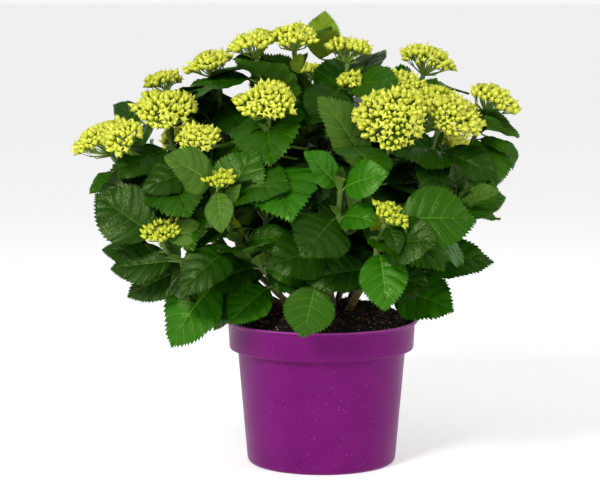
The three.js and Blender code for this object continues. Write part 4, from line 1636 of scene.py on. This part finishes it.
# %% Domes that the buds follow
def domes_object(name, chosen):
    """The level of the buds of each head: a lumpy cap that knows where its stalks meet."""
    points, faces, roots = [], [], []
    rings, around, edge = 7, 22, math.radians(78)
    for head in chosen:
        first = len(points)
        across = unit(np.cross(head["axis"], (0.3, 0.9, 0.1)))
        other = np.cross(head["axis"], across)
        reach, dome = head["radius"] - 4.0, head["dome"] - 2.0
        for ring in range(rings + 1):
            lean = edge * ring / rings
            for k in range(around):
                turn = 2 * math.pi * k / around
                ragged = (1 + 0.07 * math.sin(3 * turn + head["radius"])
                          + 0.05 * math.sin(7 * turn + ring))
                out = reach * math.sin(lean) / math.sin(edge) * ragged
                lift = dome * (math.cos(lean) - math.cos(edge)) / (1 - math.cos(edge))
                points.append(head["centre"] + across * out * math.cos(turn)
                              + other * out * math.sin(turn) + head["axis"] * lift)
        faces += walls(first, rings, around)
        roots += [head["foot"] * MM] * (len(points) - first)
    made = to_object(name, points, faces)
    store(made, "stalk_foot", "FLOAT_VECTOR", roots)
    return made


# %% Places of buds, shared by two trees
def noted(tree, geometry, label, vector):
    """Keeps a vector under a name for each point, so that it stays as it is when the point moves."""
    return add(tree, "GeometryNodeStoreNamedAttribute",
               {"Geometry": geometry, "Name": label, "Value": vector},
               data_type="FLOAT_VECTOR", domain="POINT").outputs[0]


def bud_places():
    """A group that spreads points evenly over the domes and gives each its axis."""
    tree, inlet, outlet = group(
        "bud_places", "GeometryNodeTree",
        [("Geometry", "Geometry", None), ("Spacing", "Float", 0.0056), ("Unevenness", "Float", 0.002),
         ("Lumps", "Float", 0.005), ("Cluster", "Float", 60.0), ("Seed", "Int", 5)],
        [("Points", "Geometry"), ("Axis", "Vector")])
    spread = add(tree, "GeometryNodeDistributePointsOnFaces", {
        "Mesh": inlet.outputs["Geometry"], "Distance Min": inlet.outputs["Spacing"],
        "Density Max": 300000.0, "Seed": inlet.outputs["Seed"]}, distribute_method="POISSON")
    here = add(tree, "GeometryNodeInputPosition").outputs[0]
    from_foot = vector_maths(tree, "SUBTRACT", here, said(tree, "stalk_foot", "FLOAT_VECTOR"))
    both = vector_maths(tree, "ADD", vector_maths(tree, "NORMALIZE", from_foot),
                        spread.outputs["Normal"])
    loose = varied(tree, (-0.3,) * 3, (0.3,) * 3, 8, "FLOAT_VECTOR")
    axis = vector_maths(tree, "NORMALIZE", vector_maths(tree, "ADD", both, loose))
    kept = noted(tree, spread.outputs["Points"], "bud_axis", axis)
    axis_back = said(tree, "bud_axis", "FLOAT_VECTOR")
    lift = maths(tree, "MULTIPLY", varied(tree, -1.0, 1.0, 9), inlet.outputs["Unevenness"])
    cells = add(tree, "ShaderNodeTexVoronoi", {"Vector": here, "Scale": inlet.outputs["Cluster"]})
    apart = maths(tree, "POWER", maths(tree, "MULTIPLY", cells.outputs["Distance"], 1.3), 2.0)
    lift = maths(tree, "SUBTRACT", lift, maths(tree, "MULTIPLY", apart, inlet.outputs["Lumps"]))
    moved = add(tree, "GeometryNodeSetPosition",
                {"Geometry": kept, "Offset": vector_maths(tree, "SCALE", axis_back, lift)})
    tree.links.new(moved.outputs[0], outlet.inputs["Points"])
    tree.links.new(axis_back, outlet.inputs["Axis"])
    return tree


places_group = bud_places()


def placed_buds(tree, inlet):
    """The shared group in another tree, wired to the inlet's sockets of the same names."""
    where = add(tree, "GeometryNodeGroup", node_tree=places_group)
    for label in ("Geometry", "Spacing", "Unevenness", "Seed"):
        tree.links.new(inlet.outputs[label], where.inputs[label])
    return where


# %% The tree of the buds
def bud_tree():
    """Picks a bud for each place, stands it on its axis, spins it and varies its size."""
    tree, inlet, outlet = group(
        "crowd_of_buds", "GeometryNodeTree",
        [("Geometry", "Geometry", None), ("Shapes", "Collection", None), ("Kinds", "Int", 5),
         ("Spacing", "Float", 0.0056), ("Unevenness", "Float", 0.0015), ("Size", "Float", 1.0),
         ("Seed", "Int", 5)], [("Geometry", "Geometry")])
    where = placed_buds(tree, inlet)
    last = maths(tree, "SUBTRACT", inlet.outputs["Kinds"], 1.0)
    aim = add(tree, "FunctionNodeAlignRotationToVector", {"Vector": where.outputs["Axis"]}, axis="Z")
    spin = add(tree, "FunctionNodeEulerToRotation",
               {0: varied(tree, (0, 0, 0), (0, 0, 6.28), 2, "FLOAT_VECTOR")})
    spun = add(tree, "FunctionNodeRotateRotation",
               {"Rotation": aim.outputs[0], "Rotate By": spin.outputs[0]}, rotation_space="LOCAL")
    sunk = add(tree, "GeometryNodeSetPosition", {
        "Geometry": where.outputs["Points"],
        "Offset": vector_maths(tree, "SCALE", where.outputs["Axis"], -0.004)})
    set_buds = add(tree, "GeometryNodeInstanceOnPoints", {
        "Points": sunk.outputs[0], "Instance": shapes_of(tree, inlet), "Pick Instance": True,
        "Instance Index": varied(tree, 0, last, 1, "INT"), "Rotation": spun.outputs[0],
        "Scale": maths(tree, "MULTIPLY", varied(tree, 0.82, 1.16, 3), inlet.outputs["Size"])})
    tree.links.new(made_real(tree, set_buds.outputs[0]), outlet.inputs["Geometry"])
    return tree


# %% The tree of the bud stalks
def stalk_tree():
    """Each bud's stalk runs down to a fork that its neighbours share, and a ray goes on from there."""
    tree, inlet, outlet = group(
        "bud_stalks", "GeometryNodeTree",
        [("Geometry", "Geometry", None), ("Spacing", "Float", 0.0056), ("Unevenness", "Float", 0.0015),
         ("Cluster", "Float", 60.0), ("Thickness", "Float", 0.0006), ("Seed", "Int", 5),
         ("Finish", "Material", None)], [("Geometry", "Geometry")])
    where = placed_buds(tree, inlet)
    here = add(tree, "GeometryNodeInputPosition").outputs[0]
    foot = said(tree, "stalk_foot", "FLOAT_VECTOR")
    cells = add(tree, "ShaderNodeTexVoronoi", {"Vector": here, "Scale": inlet.outputs["Cluster"]})
    between = add(tree, "ShaderNodeMix", {0: 0.55, 4: foot, 5: cells.outputs["Position"]},
                  data_type="VECTOR")
    under_bud = vector_maths(tree, "SCALE", where.outputs["Axis"], -0.0035)
    marked = noted(tree, where.outputs["Points"], "fork", between.outputs[1])
    marked = noted(tree, marked, "goal", vector_maths(tree, "ADD", here, under_bud))
    fork, goal = said(tree, "fork", "FLOAT_VECTOR"), said(tree, "goal", "FLOAT_VECTOR")
    cone = add(tree, "GeometryNodeMeshCone", {
        "Vertices": 4, "Radius Top": 0.75, "Radius Bottom": 1.0, "Depth": 1.0}, fill_type="NGON")

    def rods(points, start, end, thick):
        placed = add(tree, "GeometryNodeSetPosition", {"Geometry": points, "Position": start})
        way = vector_maths(tree, "SUBTRACT", end, here)
        length = vector_maths(tree, "LENGTH", way, out=1)
        aim = add(tree, "FunctionNodeAlignRotationToVector", {"Vector": way}, axis="Z")
        size = add(tree, "ShaderNodeCombineXYZ", {0: thick, 1: thick, 2: length})
        return add(tree, "GeometryNodeInstanceOnPoints", {
            "Points": placed.outputs[0], "Instance": cone.outputs["Mesh"],
            "Rotation": aim.outputs[0], "Scale": size.outputs[0]}).outputs[0]

    thin = inlet.outputs["Thickness"]
    thick = maths(tree, "MULTIPLY", thin, 1.9)
    ends = add(tree, "GeometryNodeSetPosition", {"Geometry": marked, "Position": fork})
    forks_only = add(tree, "GeometryNodeMergeByDistance",
                     {"Geometry": ends.outputs[0], "Distance": 0.0008})
    joined = add(tree, "GeometryNodeJoinGeometry")
    tree.links.new(rods(marked, fork, goal, thin), joined.inputs[0])
    tree.links.new(rods(forks_only.outputs[0], foot, fork, thick), joined.inputs[0])
    done = finished(tree, made_real(tree, joined.outputs[0]), inlet.outputs["Finish"])
    tree.links.new(done, outlet.inputs["Geometry"])
    return tree


# %% Setting the buds
crowd, rays = bud_tree(), stalk_tree()


def group_of(head):
    """Full heads are grouped by where they stand, the others by their kind."""
    if head["kind"] != "full":
        return head["kind"]
    x = head["centre"][0]
    return "left" if x < -60 else "middle" if x < 75 else "right"


head_groups = {name: [head for head in heads.values() if group_of(head) == name]
               for name in ("left", "middle", "right", "young", "tiny")}
# The buds' size, their spacing and how unevenly high they stand.
crowds = {"full": (1.0, 0.0056, 0.0018), "young": (1.0, 0.0046, 0.003), "tiny": (0.7, 0.0034, 0.003)}
for name, chosen in head_groups.items():
    kind = chosen[0]["kind"]
    size, spacing, unevenness = crowds[kind]
    both = {"Spacing": spacing, "Unevenness": unevenness}
    under = sorted({head["node"] for head in chosen})
    buds = grow(domes_object(f"buds_{name}_plan", chosen), crowd, {
        "Shapes": bud_shelves[kind], "Kinds": len(bud_shelves[kind].objects), "Size": size, **both})
    fit(buds, "budding_foliage", *under)
    bud_stalks = grow(domes_object(f"bud_stalks_{name}_plan", chosen), rays,
                      {"Finish": bud_stalk, **both})
    fit(bud_stalks, "budding_foliage", *under)
